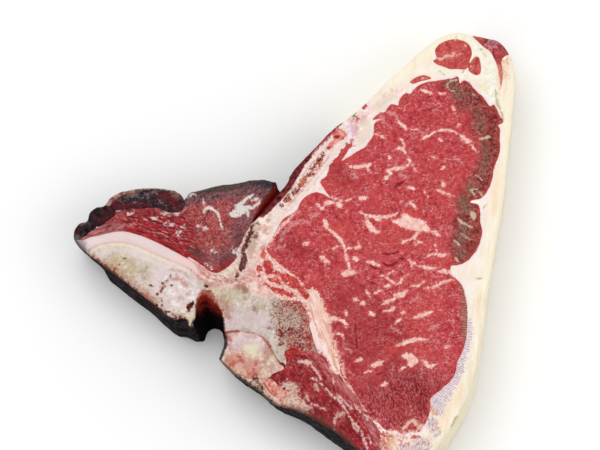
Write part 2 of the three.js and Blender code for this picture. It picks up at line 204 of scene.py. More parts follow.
def sample(field, x, y, stride=1):
    """A grid's value at any places, mixed from the four nodes around each."""
    u = np.clip((x - columns[0]) / (GRID_STEP * stride), 0, field.shape[1] - 1.001)
    v = np.clip((y - rows[0]) / (GRID_STEP * stride), 0, field.shape[0] - 1.001)
    j, i = u.astype(int), v.astype(int)
    u, v = u - j, v - i
    if field.ndim == 3:
        u, v = u[..., None], v[..., None]
    low = field[i, j] * (1 - u) + field[i, j + 1] * u
    high = field[i + 1, j] * (1 - u) + field[i + 1, j + 1] * u
    return low * (1 - v) + high * v


ahead = np.roll(rim[:-1], -2, axis=0) - np.roll(rim[:-1], 2, axis=0)
outward = np.stack([-ahead[:, 1], ahead[:, 0]], -1) / np.linalg.norm(ahead, axis=1)[:, None]
walls = np.array([(undercut, crag) for _, undercut, crag, points in RIM for _ in points], float)
walls = np.repeat(walls, CURVE_STEPS, axis=0)
BLUR = 9
kernel = np.hanning(2 * BLUR + 1) / np.hanning(2 * BLUR + 1).sum()
looped = [np.concatenate([wall[-BLUR:], wall, wall[:BLUR]]) for wall in walls.T]
walls = np.stack([np.convolve(wall, kernel, "valid") for wall in looped], -1)
thin = slice(None, None, 3)
anchors, outward, walls = rim[:-1][thin], outward[thin], walls[thin]
facing = spread(anchors, outward, reach=6.0)
set_back = spread(anchors, outward * walls[:, :1], reach=13.0)
roughness_of_wall = spread(anchors, walls[:, 1:], reach=8.0)[..., 0]


def shift_between(top, foot, reach):
    """How far the wall stands off at its foot: from each point of its upper line to the lower's."""
    top, foot = (smooth(line, closed=False, steps=4) for line in (top, foot))
    return spread(top, foot - top, reach)


crack_lean = shift_between(CRACK_MEAT_SIDE, CRACK_BONE_SIDE, 7.0)
CANAL_WALL = slice(0, 12)
canal_slope = shift_between(CANAL_TOP[CANAL_WALL], CANAL_FOOT[CANAL_WALL], 8.0)

# Low forms of the upper face: height, half width and line of each ridge or hollow.
RELIEF = [
    ("strip loin, upper dome", 0.9, 26, [(345, 205), (400, 165), (445, 135)]),
    ("strip loin, lower dome", 0.7, 24, [(405, 240), (400, 300), (400, 370)]),
    ("tenderloin dome", 0.5, 10, [(135, 219), (190, 228), (232, 232)]),
    ("cross bone", 0.6, 13, [(115, 258), (165, 285), (240, 305), (285, 320)]),
    ("fat seam", -0.9, 2.6, [(303, 293), (318, 330), (333, 362), (360, 402)]),
    ("marrow of the finger bone", -0.9, 2.2, [(286, 200), (306, 178), (322, 157), (338, 135)]),
    ("seam under the dark strap", -1.3, 2.0, [(116, 209), (145, 208), (168, 211), (184, 203)]),
    ("dried upper edge", -1.4, 4.0, [(190, 190), (230, 184), (272, 182)]),
    ("dark strap edge", -1.2, 3.6, [(112, 198), (150, 187), (178, 194)]),
    ("black end hollow", -1.5, 3.4, [(76, 229), (92, 226), (106, 221)]),
    ("seam round the facet bone", -0.9, 1.6, [(230, 332), (262, 335), (284, 366)]),
    ("tail muscle dome", 0.6, 7.0, [(445, 52), (462, 56)]),
]
SWELL_HEIGHT, SWELL_LENGTH = 0.45, 24
upper_face = THICKNESS + SWELL_HEIGHT * noise(X / SWELL_LENGTH, Y / SWELL_LENGTH, 0.5)
for _, height, width, line in RELIEF:
    away = near(project(line) - ORIGIN, reach=2.5 * width)
    upper_face += height * np.exp(-(away / width) ** 2)
EDGE_RADIUS = 1.3
inward = np.clip(EDGE_RADIUS + block, 0, EDGE_RADIUS)
upper_face -= EDGE_RADIUS - np.sqrt(EDGE_RADIUS**2 - inward**2)
# How far the wall stands in at each height, how far the crack is open at each, and the height,
# length and rise of each size of wave on the wall.
WALL_HEIGHTS = (0, 1.5, 8, 15, 22, 27, 29.2, 34)
WALL_INSETS = (0.6, -0.3, -0.5, -0.6, -0.5, -0.4, 0.1, 2.0)
CRACK_HEIGHTS = (5, 15, 36)
CRACK_OPENNESS = (0.12, 0.55, 1.1)
WALL_WAVES = ((1, 9, 9), (0.4, 2.9, 2.6), (0.22, 1.3, 1.1))
CALM = 0.25


def place(x, y, share, top, foot, leans_to_bone):
    """Where a point of the block ends up. Its height runs from foot to top with its share. Near
    the rim it moves out with the wall's rough waves, calmer at the edges, less the inset and the
    undercut, which grows towards the foot. The crack's meat side leans to the bone, and the
    canal's wall slopes."""
    z = foot + (top - foot) * share
    depth = np.clip(1 - z / THICKNESS, 0, 1)
    middle = np.sin(np.pi * np.clip(z / THICKNESS, 0, 1))
    waves = sum(high * noise(x / wide, y / wide, z / tall) for high, wide, tall in WALL_WAVES)
    rough = sample(roughness_of_wall, x, y, COARSE) * (CALM + (1 - CALM) * middle) * waves
    out = rough - np.interp(z, WALL_HEIGHTS, WALL_INSETS)
    depth = depth[..., None]
    moved = sample(facing, x, y, COARSE) * out[..., None] - sample(set_back, x, y, COARSE) * depth
    moved = moved + sample(canal_slope, x, y, COARSE) * depth
    if leans_to_bone:
        closed = 1 - np.interp(z, CRACK_HEIGHTS, CRACK_OPENNESS)
        moved = moved + sample(crack_lean, x, y, COARSE) * closed[..., None]
    return np.stack([x + moved[..., 0], y + moved[..., 1], z], -1) * MM


# Where the dried outside is black crust and where it is brown rind, as the distance beyond it.
# The rest of it is fat.
BONE_EDGE, CRUSTED, RIND = RIM[0], RIM[4:10], RIM[10]
RIND_END = (284, 178)
crusted = [point for _, _, _, points in CRUSTED for point in points]
crust_side = np.min([
    near(smooth(line, closed=False), width) for line, width in
    ((crusted, 4.5), (BONE_EDGE[3], 3.5), (CANAL_TOP[CANAL_WALL], 3.0))], axis=0)
rind_side = near(smooth(RIND[3] + [RIND_END], closed=False), 4.5)


# Cartilage
# A pearly crescent that caps the cross bone of the T on its tenderloin side. It is smooth gristle
# that the saw cut clean, damp and pink-white, with a thin pink growth line on its bone side.

# What earlier pieces have taken of the block, and how a cut edge wavers.
taken = np.full(X.shape, REACH)
waver = noise(X / 2.3, Y / 2.3, 1.5) + 0.7 * noise(X / 1.1, Y / 1.1, 6.5)


def claim(outline, ragged=0.25):
    """A piece's field, negative where it is: within its outline, whose edge wavers by ragged mm,
    and within the block, but out of what earlier pieces have taken."""
    global taken
    own = area(smooth(outline)) + ragged * waver
    field = np.maximum(np.maximum(own, -taken), block)
    taken = np.minimum(taken, own)
    return field


LEAST_FIELD = 1e-4
CROSSING = (0.03, 0.97)


def cut_out(field):
    """The grid's part where a field is negative, by marching squares: whole cells inside, and
    cells on the border cut where the field crosses zero along their sides, a little off the
    corners. Gives flat points, polygons by case, and the border's directed edges, with the
    inside on their left."""
    field = np.where(np.abs(field) < LEAST_FIELD, LEAST_FIELD, field)
    inside = field < 0
    height, width = field.shape
    node = np.arange(height * width).reshape(height, width)
    level = height * width + np.arange(height * (width - 1)).reshape(height, width - 1)
    upright = height * (2 * width - 1) + np.arange((height - 1) * width).reshape(height - 1, width)
    with np.errstate(divide="ignore", invalid="ignore"):
        along = np.clip(field[:, :-1] / (field[:, :-1] - field[:, 1:]), *CROSSING)
        across = np.clip(field[:-1] / (field[:-1] - field[1:]), *CROSSING)
    places = np.concatenate([
        np.stack([X, Y], -1).reshape(-1, 2),
        np.stack([X[:, :-1] + along * GRID_STEP, Y[:, :-1]], -1).reshape(-1, 2),
        np.stack([X[:-1], Y[:-1] + across * GRID_STEP], -1).reshape(-1, 2)])
    ring = np.stack([
        node[:-1, :-1], level[:-1], node[:-1, 1:], upright[:, 1:],
        node[1:, 1:], level[1:], node[1:, :-1], upright[:, :-1]], -1)
    corner = np.stack([inside[:-1, :-1], inside[:-1, 1:], inside[1:, 1:], inside[1:, :-1]], -1)
    code = corner @ np.array([1, 2, 4, 8])
    polygons, border = [], []
    for case in range(1, 16):
        held = [bool(case >> i & 1) for i in range(4)]
        walk = []
        for i in range(4):
            if held[i]:
                walk.append(2 * i)
            if held[i] != held[(i + 1) % 4]:
                walk.append(2 * i + 1)
        cells = ring[code == case][:, walk]
        polygons.append(cells)
        for i, spot in enumerate(walk):
            follower = walk[(i + 1) % len(walk)]
            if spot % 2 and follower % 2:
                border.append(np.stack([cells[:, i], cells[:, (i + 1) % len(walk)]], -1))
    border = np.concatenate(border)
    used = np.unique(np.concatenate([cells.ravel() for cells in polygons]))
    renumber = np.zeros(len(places), int)
    renumber[used] = np.arange(len(used))
    return places[used], [renumber[cells] for cells in polygons if len(cells)], renumber[border]


SEAM_DEPTH, SEAM_WIDTH = 0.28, 0.55
SHOWN_RINGS, HIDDEN_RINGS = 22, 3
TOP_RING, FOOT_RING = 0.985, 0.02
WANDER, WANDER_LENGTH = 3.5, 17
SHARP = math.radians(50)


def column(name, field, material, marks, grain, shows_at_side=True, leans_to_bone=True):
    """One piece of the steak: the cut-out of its field as an upper and a lower face, joined by a
    wall of rings, with a fine groove at its edge. Grain is the height of its own fine roughness.
    Marks are grid fields that its material reads, and they wander off slowly from the upper face
    to the lower one, so the two faces differ."""
    flat, polygons, border = cut_out(field)
    count = len(flat)
    x, y = flat.T
    own_edge = sample(-field, x, y)
    seam = SEAM_DEPTH * np.exp(-(own_edge / SEAM_WIDTH) ** 2)
    fine = noise(x / 3.1, y / 3.1, 4.5) + 0.7 * noise(x / 1.4, y / 1.4, 7.5)
    top = sample(upper_face, x, y) + grain * fine - seam
    pits = noise(x / 3.3, y / 3.3, 9.5) + 0.7 * noise(x / 1.5, y / 1.5, 2.5)
    foot = 0.3 * grain * (1.7 + pits) + seam
    rings = SHOWN_RINGS if shows_at_side else HIDDEN_RINGS
    shares = np.linspace(1, 0, rings + 1)[1:-1]
    if shows_at_side:
        shares = np.concatenate([[TOP_RING], shares, [FOOT_RING]])
    ids = border[:, 0]
    total = np.concatenate([np.arange(count), np.arange(count)] + [ids] * len(shares))
    share = np.concatenate([np.ones(count), np.zeros(count), np.repeat(shares, len(ids))])
    points = place(x[total], y[total], share, top[total], foot[total], leans_to_bone)
    position = np.zeros(count, int)
    position[ids] = np.arange(len(ids))
    start, end = position[border[:, 0]], position[border[:, 1]]
    levels = [ids] + [2 * count + i * len(ids) + np.arange(len(ids)) for i in range(len(shares))]
    levels.append(count + ids)
    faces = polygons + [count + cells[:, ::-1] for cells in polygons]
    for upper, lower in zip(levels[:-1], levels[1:]):
        faces.append(np.stack([lower[start], lower[end], upper[end], upper[start]], -1))
    corners = np.concatenate([cells.ravel() for cells in faces])
    sizes = np.concatenate([np.full(len(cells), cells.shape[1]) for cells in faces])
    mesh = bpy.data.meshes.new(name + "_look")
    mesh.vertices.add(len(points))
    mesh.vertices.foreach_set("co", points.ravel())
    mesh.loops.add(len(corners))
    mesh.loops.foreach_set("vertex_index", corners)
    mesh.polygons.add(len(sizes))
    mesh.polygons.foreach_set("loop_start", np.cumsum(sizes) - sizes)
    mesh.update(calc_edges=True)
    mesh.validate()
    mesh.set_sharp_from_angle(angle=SHARP)
    x, y = x[total], y[total]
    slow = [noise(x / WANDER_LENGTH, y / WANDER_LENGTH, layer) for layer in (3.3, 8.3)]
    seen_x, seen_y = x + (1 - share) * WANDER * slow[0], y + (1 - share) * WANDER * slow[1]
    fields = {label: sample(mark, seen_x, seen_y) for label, mark in marks.items()}
    for label, mark in (("crust", crust_side), ("rind", rind_side), ("rim", -block)):
        fields[label] = sample(mark, x, y)
    fields["edge"] = own_edge[total]
    fields["wall"] = np.where(np.arange(len(total)) < 2 * count, 0.0, 1.0)
    for label, values in fields.items():
        mesh.attributes.new(label, "FLOAT", "POINT").data.foreach_set("value", values)
    mesh.materials.append(material)
    piece = bpy.data.objects.new(name + "_look", mesh)
    bpy.context.scene.collection.objects.link(piece)
    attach(piece, "root")
    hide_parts(name)
    return piece


def linear(colour):
    """A screen colour of 0 to 255 a channel as the light it stands for."""
    value = np.asarray(colour, float) / 255
    light = np.where(value <= 0.04045, value / 12.92, ((value + 0.055) / 1.055) ** 2.4)
    return (*light, 1.0)


class Wire:
    """A shader node's output with arithmetic, so an expression on values adds Math nodes."""

    def __init__(self, paint, socket):
        self.paint = paint
        self.socket = socket

    def math(self, operation, *values):
        return self.paint.node("ShaderNodeMath", {"operation": operation}, dict(enumerate(values)))

    def __add__(self, other):
        return self.math("ADD", self, other)

    def __radd__(self, other):
        return self.math("ADD", other, self)

    def __sub__(self, other):
        return self.math("SUBTRACT", self, other)

    def __rsub__(self, other):
        return self.math("SUBTRACT", other, self)

    def __mul__(self, other):
        return self.math("MULTIPLY", self, other)

    def __rmul__(self, other):
        return self.math("MULTIPLY", other, self)

    def wave(self):
        """The sine of an angle."""
        return self.math("SINE", self)

    def swing(self, amount):
        """Noise about a half as an offset about zero, times an amount."""
        return (self - 0.5) * amount


class Paint:
    """One procedural material. Lengths are in mm on Object coordinates, colours 0 to 255."""

    def __init__(self, name):
        self.material = bpy.data.materials.new(name)
        self.material.use_nodes = True
        self.tree = self.material.node_tree
        self.tree.nodes.clear()
        place = self.node("ShaderNodeTexCoord", output="Object")
        self.place = self.scaled(place, 1 / MM)
        self.ragged_edge = self.noise(1.5, 4, 0.72, shift=9)

    def node(self, kind, settings=None, inputs=None, output=0):
        """A node from its type, its settings, and its inputs as values or wires."""
        made = self.tree.nodes.new(kind)
        for label, value in (settings or {}).items():
            setattr(made, label, value)
        for label, value in (inputs or {}).items():
            if isinstance(value, Wire):
                self.tree.links.new(value.socket, made.inputs[label])
            else:
                made.inputs[label].default_value = value
        return Wire(self, made.outputs[output]) if len(made.outputs) else None

    def scaled(self, vector, factor):
        """A place or a colour times a number or a value."""
        inputs = {"Vector": vector, "Scale": factor}
        return self.node("ShaderNodeVectorMath", {"operation": "SCALE"}, inputs)

    def mark(self, name):
        """A field that the mesh carries on its points."""
        return self.node("ShaderNodeAttribute", {"attribute_name": name}, output="Fac")

    def stretched(self, lengths, turn=0):
        """The place, turned by degrees about +Z and divided by a length along each axis."""
        inputs = {"Vector": self.place, "Rotation": (0, 0, math.radians(-turn))}
        turned = self.node("ShaderNodeMapping", {"vector_type": "POINT"}, inputs)
        scale = tuple(1 / length for length in lengths)
        return self.node("ShaderNodeVectorMath", {"operation": "MULTIPLY"}, {0: turned, 1: scale})

    def noise(self, length, detail=2, roughness=0.55, shift=0.0, turn=0, bend=0.0):
        """Noise from 0 to 1 with a wavelength, or one a side where three lengths are given."""
        lengths = length if isinstance(length, tuple) else (length,) * 3
        inputs = {
            "Vector": self.stretched(lengths, turn), "W": shift, "Scale": 1.0, "Detail": detail,
            "Roughness": roughness, "Distortion": bend}
        return self.node("ShaderNodeTexNoise", {"noise_dimensions": "4D"}, inputs)

    def web(self, lengths, turn=0, bend=1.2):
        """How far each place is from the walls between bundles of about these lengths, as a share
        of a length. Noise bends the place first, so the walls wander."""
        place = self.stretched(lengths, turn)
        inputs = {"Vector": place, "Scale": 0.8, "Detail": 3.0, "Roughness": 0.6}
        sway = self.node("ShaderNodeTexNoise", {}, inputs, output="Color")
        inputs = {0: sway, 1: (bend, bend, bend), 2: place}
        bent = self.node("ShaderNodeVectorMath", {"operation": "MULTIPLY_ADD"}, inputs)
        settings = {"feature": "DISTANCE_TO_EDGE"}
        return self.node("ShaderNodeTexVoronoi", settings, {"Vector": bent, "Scale": 1.0})

    def rise(self, value, low, high):
        """0 up to low and 1 from high on, eased between; it falls where high is below low."""
        flipped = high < low
        inputs = {"Value": value, "From Min": min(low, high), "From Max": max(low, high)}
        inputs.update({"To Min": float(flipped), "To Max": float(not flipped)})
        return self.node("ShaderNodeMapRange", {"interpolation_type": "SMOOTHSTEP"}, inputs)

    def colour(self, value):
        """A colour from a node, from red, green and blue, or from a row that tones takes."""
        if isinstance(value, Wire):
            return value
        return linear(value) if len(value) == 3 else self.tones(*value)

    def mix(self, factor, first, second):
        """The first colour at 0, the second at 1."""
        inputs = {0: factor, 6: self.colour(first), 7: self.colour(second)}
        return self.node("ShaderNodeMix", {"data_type": "RGBA"}, inputs, output=2)

    def tones(self, value, low, high, first, second):
        """The first colour up to low and the second from high on."""
        return self.mix(self.rise(value, low, high), first, second)

    def wash(self, base, value, low, high, colour, strength=1.0):
        """A colour over a base where a value is past high, less of it towards low."""
        return self.mix(self.rise(value, low, high) * strength, base, colour)

    def daub(self, base, mark, colour, blur=0.25, ragged=0.6, strength=1.0):
        """A colour over a base where a mark, made ragged by noise, is below zero."""
        edge = self.mark(mark) + self.ragged_edge.swing(4 * ragged)
        return self.wash(base, edge, blur, -blur, colour, strength)

    def layers(self, base, rows):
        """Colours laid one over another. A row that opens with a mark's name is a daub, with its
        colour, blur, raggedness and strength. Any other row is a wash, with its value, low, high,
        colour and strength."""
        for row in rows:
            lay = self.daub if isinstance(row[0], str) else self.wash
            base = lay(base, *row)
        return base

    def grained(self, colour, grain, amount):
        """A colour made lighter and darker by noise, times an amount."""
        return self.scaled(colour, grain.swing(amount) + 1.0)

    def skin(self):
        """The dried outside, alike on all pieces: layered fat, brown rind and black crust, each
        with lighter scabs, and with ragged borders between them that cross the seams."""
        crag = self.noise((5.5, 5.5, 4.0), 5, 0.7, shift=31)
        scab = self.noise((2.2, 2.2, 1.5), 5, 0.74, shift=32)
        layers = self.noise((11, 11, 3.4), 5, 0.66, shift=33, bend=0.8)
        fat = self.layers((layers, 0.36, 0.64, (240, 224, 190), (251, 243, 220)), [
            (crag, 0.56, 0.72, (230, 200, 164), 0.5),
            (scab, 0.62, 0.74, (206, 168, 132), 0.4)])
        rind = self.layers((crag, 0.36, 0.66, (40, 24, 24), (102, 80, 66)), [
            (layers, 0.53, 0.66, (88, 38, 36), 0.5),
            (scab, 0.54, 0.64, (156, 140, 114), 0.6),
            (scab, 0.47, 0.36, (34, 14, 18), 0.8)])
        black = self.layers((crag, 0.4, 0.66, (8, 9, 11), (52, 46, 48)), [
            (scab, 0.54, 0.66, (104, 94, 88), 0.6),
            (scab, 0.47, 0.36, (34, 8, 10), 0.6)])
        border = crag.swing(14) + layers.swing(12)
        return self.layers(fat, [
            (self.mark("rind") + border, 2.4, -1.6, rind),
            (self.mark("crust") + border, 2.4, -1.6, black)])

    def height(self):
        """How high a place is, in mm."""
        return self.node("ShaderNodeSeparateXYZ", {}, {"Vector": self.place}, output="Z")

    def walled(self, colour):
        """A colour on the cut faces, with the dried outside on the walls."""
        return self.wash(colour, self.mark("wall"), 0.3, 0.6, self.skin())

    def finish(self, colour, roughness, relief, gloss=0.05, wet=0.0, soft=0.0):
        """The surface: its colour, its roughness, its fine relief in mm, the strength of its gloss,
        a wet film, and how much light goes under. The walls are dull and dry, with crags."""
        dry = self.rise(self.mark("wall"), 0.1, 0.5)
        relief = dry * self.noise((3, 3, 2), 4, 0.7) * 1.6 + relief
        inputs = {"Height": relief, "Distance": MM, "Strength": 1.0}
        normal = self.node("ShaderNodeBump", {}, inputs)
        roughness = dry * (1 - roughness) + roughness
        if wet:
            wet = (1 - dry) * wet
        inputs = {
            "Base Color": self.colour(colour), "Roughness": roughness, "Normal": normal,
            "Specular IOR Level": gloss, "Coat Weight": wet, "Coat Roughness": 0.18,
            "Subsurface Weight": soft, "Subsurface Radius": (1.0, 0.45, 0.35),
            "Subsurface Scale": 0.001}
        surface = self.node("ShaderNodeBsdfPrincipled", {}, inputs)
        self.node("ShaderNodeOutputMaterial", {}, {"Surface": surface})
        return self.material


STROKE_REACH = 6.0
TAPER_POWER = 2.5


def drawn(reach=STROKE_REACH, taper=0.6, **marks):
    """Signed distance to painted marks, each from rows in picture points. A row that opens with a
    width is a stroke, narrower by the taper's share towards both ends, or a dot if it has one
    point. A row of points alone is the outline of a patch."""
    fields = {}
    for name, rows in marks.items():
        field = np.full(X.shape, max(reach, REACH))
        for row in rows:
            if isinstance(row, list):
                field = np.minimum(field, area(smooth(row)))
                continue
            width, *points = row
            line = smooth(points * 2 if len(points) == 1 else points, closed=False, steps=4)
            share = (np.arange(len(line) - 1) + 0.5) / (len(line) - 1)
            narrowed = 1 - taper * np.abs(2 * share - 1) ** TAPER_POWER
            field = np.minimum(field, near(line, 0.5 * width * POINT_WIDTH * narrowed, reach))
        fields[name] = field
    return fields


cartilage_field = claim([
    (66, 238), (76, 240), (84, 239.5), (90, 237), (100, 235), (112, 232.3), (122, 231.5), (135, 234),
    (150, 239.5), (165, 246.5), (180, 254.5), (192, 261.5), (197, 267), (198, 275), (192, 270),
    (172, 261.5), (155, 254), (140, 247.5), (125, 243), (108, 243), (95, 246.5), (86, 251),
    (66, 262)], ragged=0.08)
cartilage_marks = drawn(
    pink_line=[(1.6, (86, 248), (95, 244.5), (108, 241.5), (125, 241.5), (142, 246)), (2.0, (142, 246),
        (157, 252.5), (174, 259.5), (190, 267))],
    grey_tip=[[(66, 236), (80, 238), (86, 246), (84, 254), (66, 262)]],
    pink_end=[[(176, 253), (190, 258), (200, 268), (198, 278), (188, 269), (178, 262)]])
paint = Paint("damp_cartilage")
pearl = paint.mix(paint.noise((6, 1.8, 5), 3, 0.6, turn=-18), (210, 186, 187), (234, 214, 212))
pearl = paint.layers(pearl, [
    ("pink_line", (228, 196, 184), 0.5, 0.3, 0.6),
    ("pink_end", (232, 194, 188), 1.2, 1.0, 0.7),
    (paint.mark("edge"), 0.5, 0.1, (205, 150, 150), 0.5),
    ("grey_tip", (150, 132, 136), 1.6, 1.2),
    (paint.mark("rim"), 1.2, 0.2, (88, 72, 70), 0.8)])
pearl = paint.walled(pearl)
cartilage = column(
    "cartilage", cartilage_field,
    paint.finish(pearl, 0.35, paint.noise(1.1, 3) * 0.08, gloss=0.2, wet=0.15),
    cartilage_marks, 0.03)


# Vertebra
# The T-shaped bone: the cross bone under the cartilage, the round body beside the spinal canal,
# and the finger bone that runs up between the two muscles. The saw left it smeared and dry on the
# cut face, with brown pores in its spongy middle and black crust on its outer side.

vertebra_field = claim([
    (90, 244), (76, 262), (110, 292), (160, 330), (192, 345), (206, 333), (222, 333.2), (232, 331.3),
    (240, 331), (248, 332), (255, 333), (261.6, 335.4), (266, 339), (270, 347), (274, 354),
    (279, 362), (283, 360), (285, 352), (288, 349), (294, 346.3), (300, 350), (310, 350.5),
    (317, 352.5), (313, 338), (310, 326), (308, 316), (305, 308), (300, 301), (290, 300),
    (280, 299), (272, 294), (266, 288), (258, 281), (256, 272), (258, 262), (263, 249), (268, 241),
    (275, 229), (283, 217), (292, 209), (300, 199.5), (309, 190), (318, 180), (328, 167),
    (337, 154), (345, 144), (348, 137), (346.5, 130), (340, 122), (326, 125), (306, 145),
    (288, 164), (281, 176), (277, 195), (268, 205), (259, 215.5), (252, 224), (248.5, 236),
    (247.5, 250), (249.5, 262), (246, 272), (238, 279), (225, 283), (212, 281.5), (203, 281.5),
    (196, 277), (188, 266), (172, 256), (140, 240), (110, 237)], ragged=0.15)
dark_strip = drawn(dark_strip=[(5.5, (253, 225), (250.5, 233), (248, 240), (245, 247), (242, 253)),
    (8, (244, 255), (243.5, 262), (241.5, 269)), (3.6, (237.5, 274), (236, 279)), (2.4, (240, 256),
    (247, 258))])
vertebra_marks = drawn(
    dark_side=[(15, (262, 214), (272, 200), (281, 189), (290, 176), (302, 161)), (9, (300, 163),
        (309, 153))],
    red_side=[(8, (303, 160), (312, 149), (325, 136), (335, 127))],
    grey_joint=[(9, (255, 226), (253.5, 238), (250, 252))],
    body_line=[(1.4, (230, 284), (238, 280), (246, 278.5), (257, 281.5))],
    finger=[(36, (258, 238), (275, 217), (292, 196), (310, 175), (330, 149), (345, 130))],
    marrow=[(3, (280.5, 208), (283, 204)), (6, (285, 201), (289, 198)), (6, (293, 193), (298, 189)),
        (2.4, (288, 195)), (2, (299, 186)), (4, (307, 176), (312, 171)), (4.4, (311, 168), (316, 164)),
        (4.4, (317, 163), (323, 154))],
    rusty_marrow=[(7, (301.5, 185), (305, 178)), (4, (308, 176), (314, 173)), (3, (316, 169), (321, 163)),
        (4, (327, 149), (329, 146))],
    pink_streak=[(2, (284, 211), (298, 195), (312, 178), (328, 158)), (1.6, (300, 178), (312, 163),
        (326, 147)), (1.6, (316, 173), (330, 155)), (1.4, (270, 222), (262, 236)), (1.6, (290, 190),
        (298, 180))],
    marrow_tip=[[(335, 128.5), (339, 127.5), (344, 130.5), (346, 134), (344, 138.5), (340, 140.5),
        (336, 143), (332, 148), (328, 150), (327, 147), (331, 141), (334, 138), (331, 134), (333, 131)]],
    marrow_pale=[(3.4, (339, 131), (343, 134.5)), (2.4, (334, 142), (338, 139.5))],
    marrow_core=[(3.4, (335, 136.5), (338.5, 136)), (2.4, (327.5, 148), (329, 146.5)), (1.6, (341, 139.5),
        (343, 138.5))],
    cream_joint=[[(252, 224), (259, 217), (270, 214), (272, 226), (264, 242), (254, 246)]],
    dots=[(3.2, (255, 238), (257, 233)), (2.6, (257, 224), (259, 223)), (2.6, (160, 293), (161, 291)),
        (2.6, (161.5, 289), (164, 287)), (2.6, (162.5, 283.5)), (2.4, (166, 281.5)), (2.4, (171.5, 285.5)),
        (2.4, (171, 276)), (2.4, (160, 299)), (2.4, (161.5, 302)), (2.2, (149, 286), (152, 286)),
        (2.2, (147, 296)), (2.2, (114, 270)), (2.2, (119, 266)), (2.0, (124, 259)), (2.4, (157, 295)),
        (2.2, (161, 306)), (2.2, (168, 279))],
    pink_pores=[(4.5, (182.5, 283.5), (187, 286)), (2.4, (181, 297)), (3, (190, 292), (187, 296)),
        (3, (176, 275), (178, 280)), (6, (144, 296), (152, 299)), (2.4, (169, 303))],
    pits=[(5.5, (187.5, 311), (190.5, 306), (192.5, 303)), (8, (181, 317.5), (187, 323)), (2.4, (204, 301),
        (200, 307)), (1.6, (150, 302), (163, 311), (176, 317.5))],
    pit_rims=[(2.4, (180, 316), (186, 317), (190, 322), (187, 327)), (3.4, (190, 314), (195, 318)),
        (1.6, (184, 312), (185, 304))],
    yellow=[(9, (113, 262), (118, 264)), (7, (126, 261), (130, 262)), (6, (131, 276)), (5, (120, 270)),
        (4, (222, 292), (226, 296)), (3, (229, 299))],
    growth_cream=[(3.8, (88, 253), (97, 248.5), (109, 245), (125, 245.2), (139, 249.5), (154, 256),
        (171, 263.5), (189, 272))],
    growth_haze=[(10, (104, 251), (125, 250.5), (138, 254.5), (152, 261), (168, 268), (184, 275))],
    saw_rust=[(6, (92, 256), (102, 262), (112, 269.5), (122, 276.5), (134, 285), (146, 294), (158, 303))],
    # Painted highlights: white spots standing for light caught on the lumps of the round body.
    white_lumps=[(4, (186, 297), (194, 298)), (4.5, (166, 290), (176, 296)), (3.4, (178, 284), (184, 289)),
        (3, (190, 288), (192, 293)), (3.4, (170, 302), (178, 306)), (2.6, (198, 290), (199, 296)),
        (2.4, (164, 281), (168, 277)), (3, (186, 308), (183, 313))],
    round_pale=[[(152, 272), (168, 264), (186, 268), (197, 278), (200, 292), (194, 304), (180, 312),
        (162, 306), (150, 290)]],
    swirl=[(2.6, (160, 296), (161, 288), (168, 281), (178, 279), (187, 283)), (2.2, (173, 296), (180, 299),
        (189, 296)), (2, (168, 270), (180, 271), (190, 278))],
    lilac_low=[[(224, 318), (232, 311), (250, 309), (268, 316), (276, 330), (266, 336), (250, 330),
        (226, 330)]],
    pink_top=[[(206, 281), (226, 283), (240, 278), (248, 266), (250, 246), (262, 240), (262, 262),
        (262, 280), (276, 296), (262, 297), (240, 288), (214, 288)]],
    brown=[(7, (237, 288), (242, 287), (247, 293)), (4, (246, 297)), (5, (255, 307), (256, 311)),
        (4.5, (268, 329), (271, 328)), (3, (239, 284))],
    spongy=[[(273, 302), (284, 298), (304, 296), (318, 314), (324, 338), (326, 356), (296, 350), (282, 348),
        (276, 330), (272, 314)]],
    red_spongy=[(9, (285, 301), (294, 303), (301, 307), (305, 315)), (6, (304, 318), (307, 328)),
        (9, (306, 330), (309, 342), (312, 352)), (5, (290, 341), (298, 343))],
    blood=[(7, (280, 331), (283, 336)), (7, (290, 330), (293, 336)), (6, (299, 331), (302, 336)),
        (7, (290, 347), (297, 346), (302, 349)), (4, (280, 342), (283, 344)), (3, (300, 326), (303, 340))],
    canal_red=[(9, (199, 298), (205, 294), (210, 297), (213, 300)), (5, (213, 301), (219, 308), (221, 318),
        (223, 331))],
    canal_mouth=[(11, (196, 304), (204, 297), (212, 302), (219, 309))],
    joint_line=[(2.6, (222, 333.5), (232, 331.5), (240, 331.2)), (1.3, (240, 331.2), (255, 333.3),
        (266, 339.5), (274, 354), (281, 364))],
    rust=[(9, (222, 300), (226, 308), (229, 318)), (7, (206, 283), (208, 287)), (6, (212, 298),
        (220, 303))],
    black_spot=[(3, (205, 286), (208, 287)), (2, (208, 291))],
    grey_tip=[[(66, 236), (80, 238), (87, 248), (88, 256), (66, 268)]])
vertebra_marks.update(dark_strip)
# Near the canal's wall, where the vertebra's colour paints shade into the hollow of the canal.
vertebra_marks["canal_shade"] = near(smooth(CANAL_TOP[:11], closed=False), 3.0)
paint = Paint("sawn_bone")
grain = paint.noise(1.7, 5, 0.72)
cloud = paint.noise(9, 4, 0.6, shift=2)
bone = paint.tones(cloud, 0.38, 0.62, (192, 176, 152), (208, 194, 184))
stain = paint.noise(4.2, 4, 0.68, shift=14)
bone = paint.layers(bone, [
    (stain, 0.53, 0.64, (166, 142, 124), 0.65),
    (stain, 0.46, 0.36, (222, 210, 202), 0.7)])
bone = paint.grained(bone, grain, 1.5)
pale = paint.grained(paint.mix(stain, (202, 176, 172), (236, 224, 226)), grain, 1.0)
lilac = paint.grained(paint.mix(cloud, (192, 172, 172), (222, 204, 206)), grain, 0.8)
joint = paint.tones(stain, 0.38, 0.62, (204, 134, 126), (242, 212, 204))
joint = paint.grained(joint, grain, 1.1)
pores = paint.noise(0.85, 4, 0.75, shift=5)
sponge = paint.tones(stain, 0.36, 0.64, (150, 106, 92), (186, 158, 144))
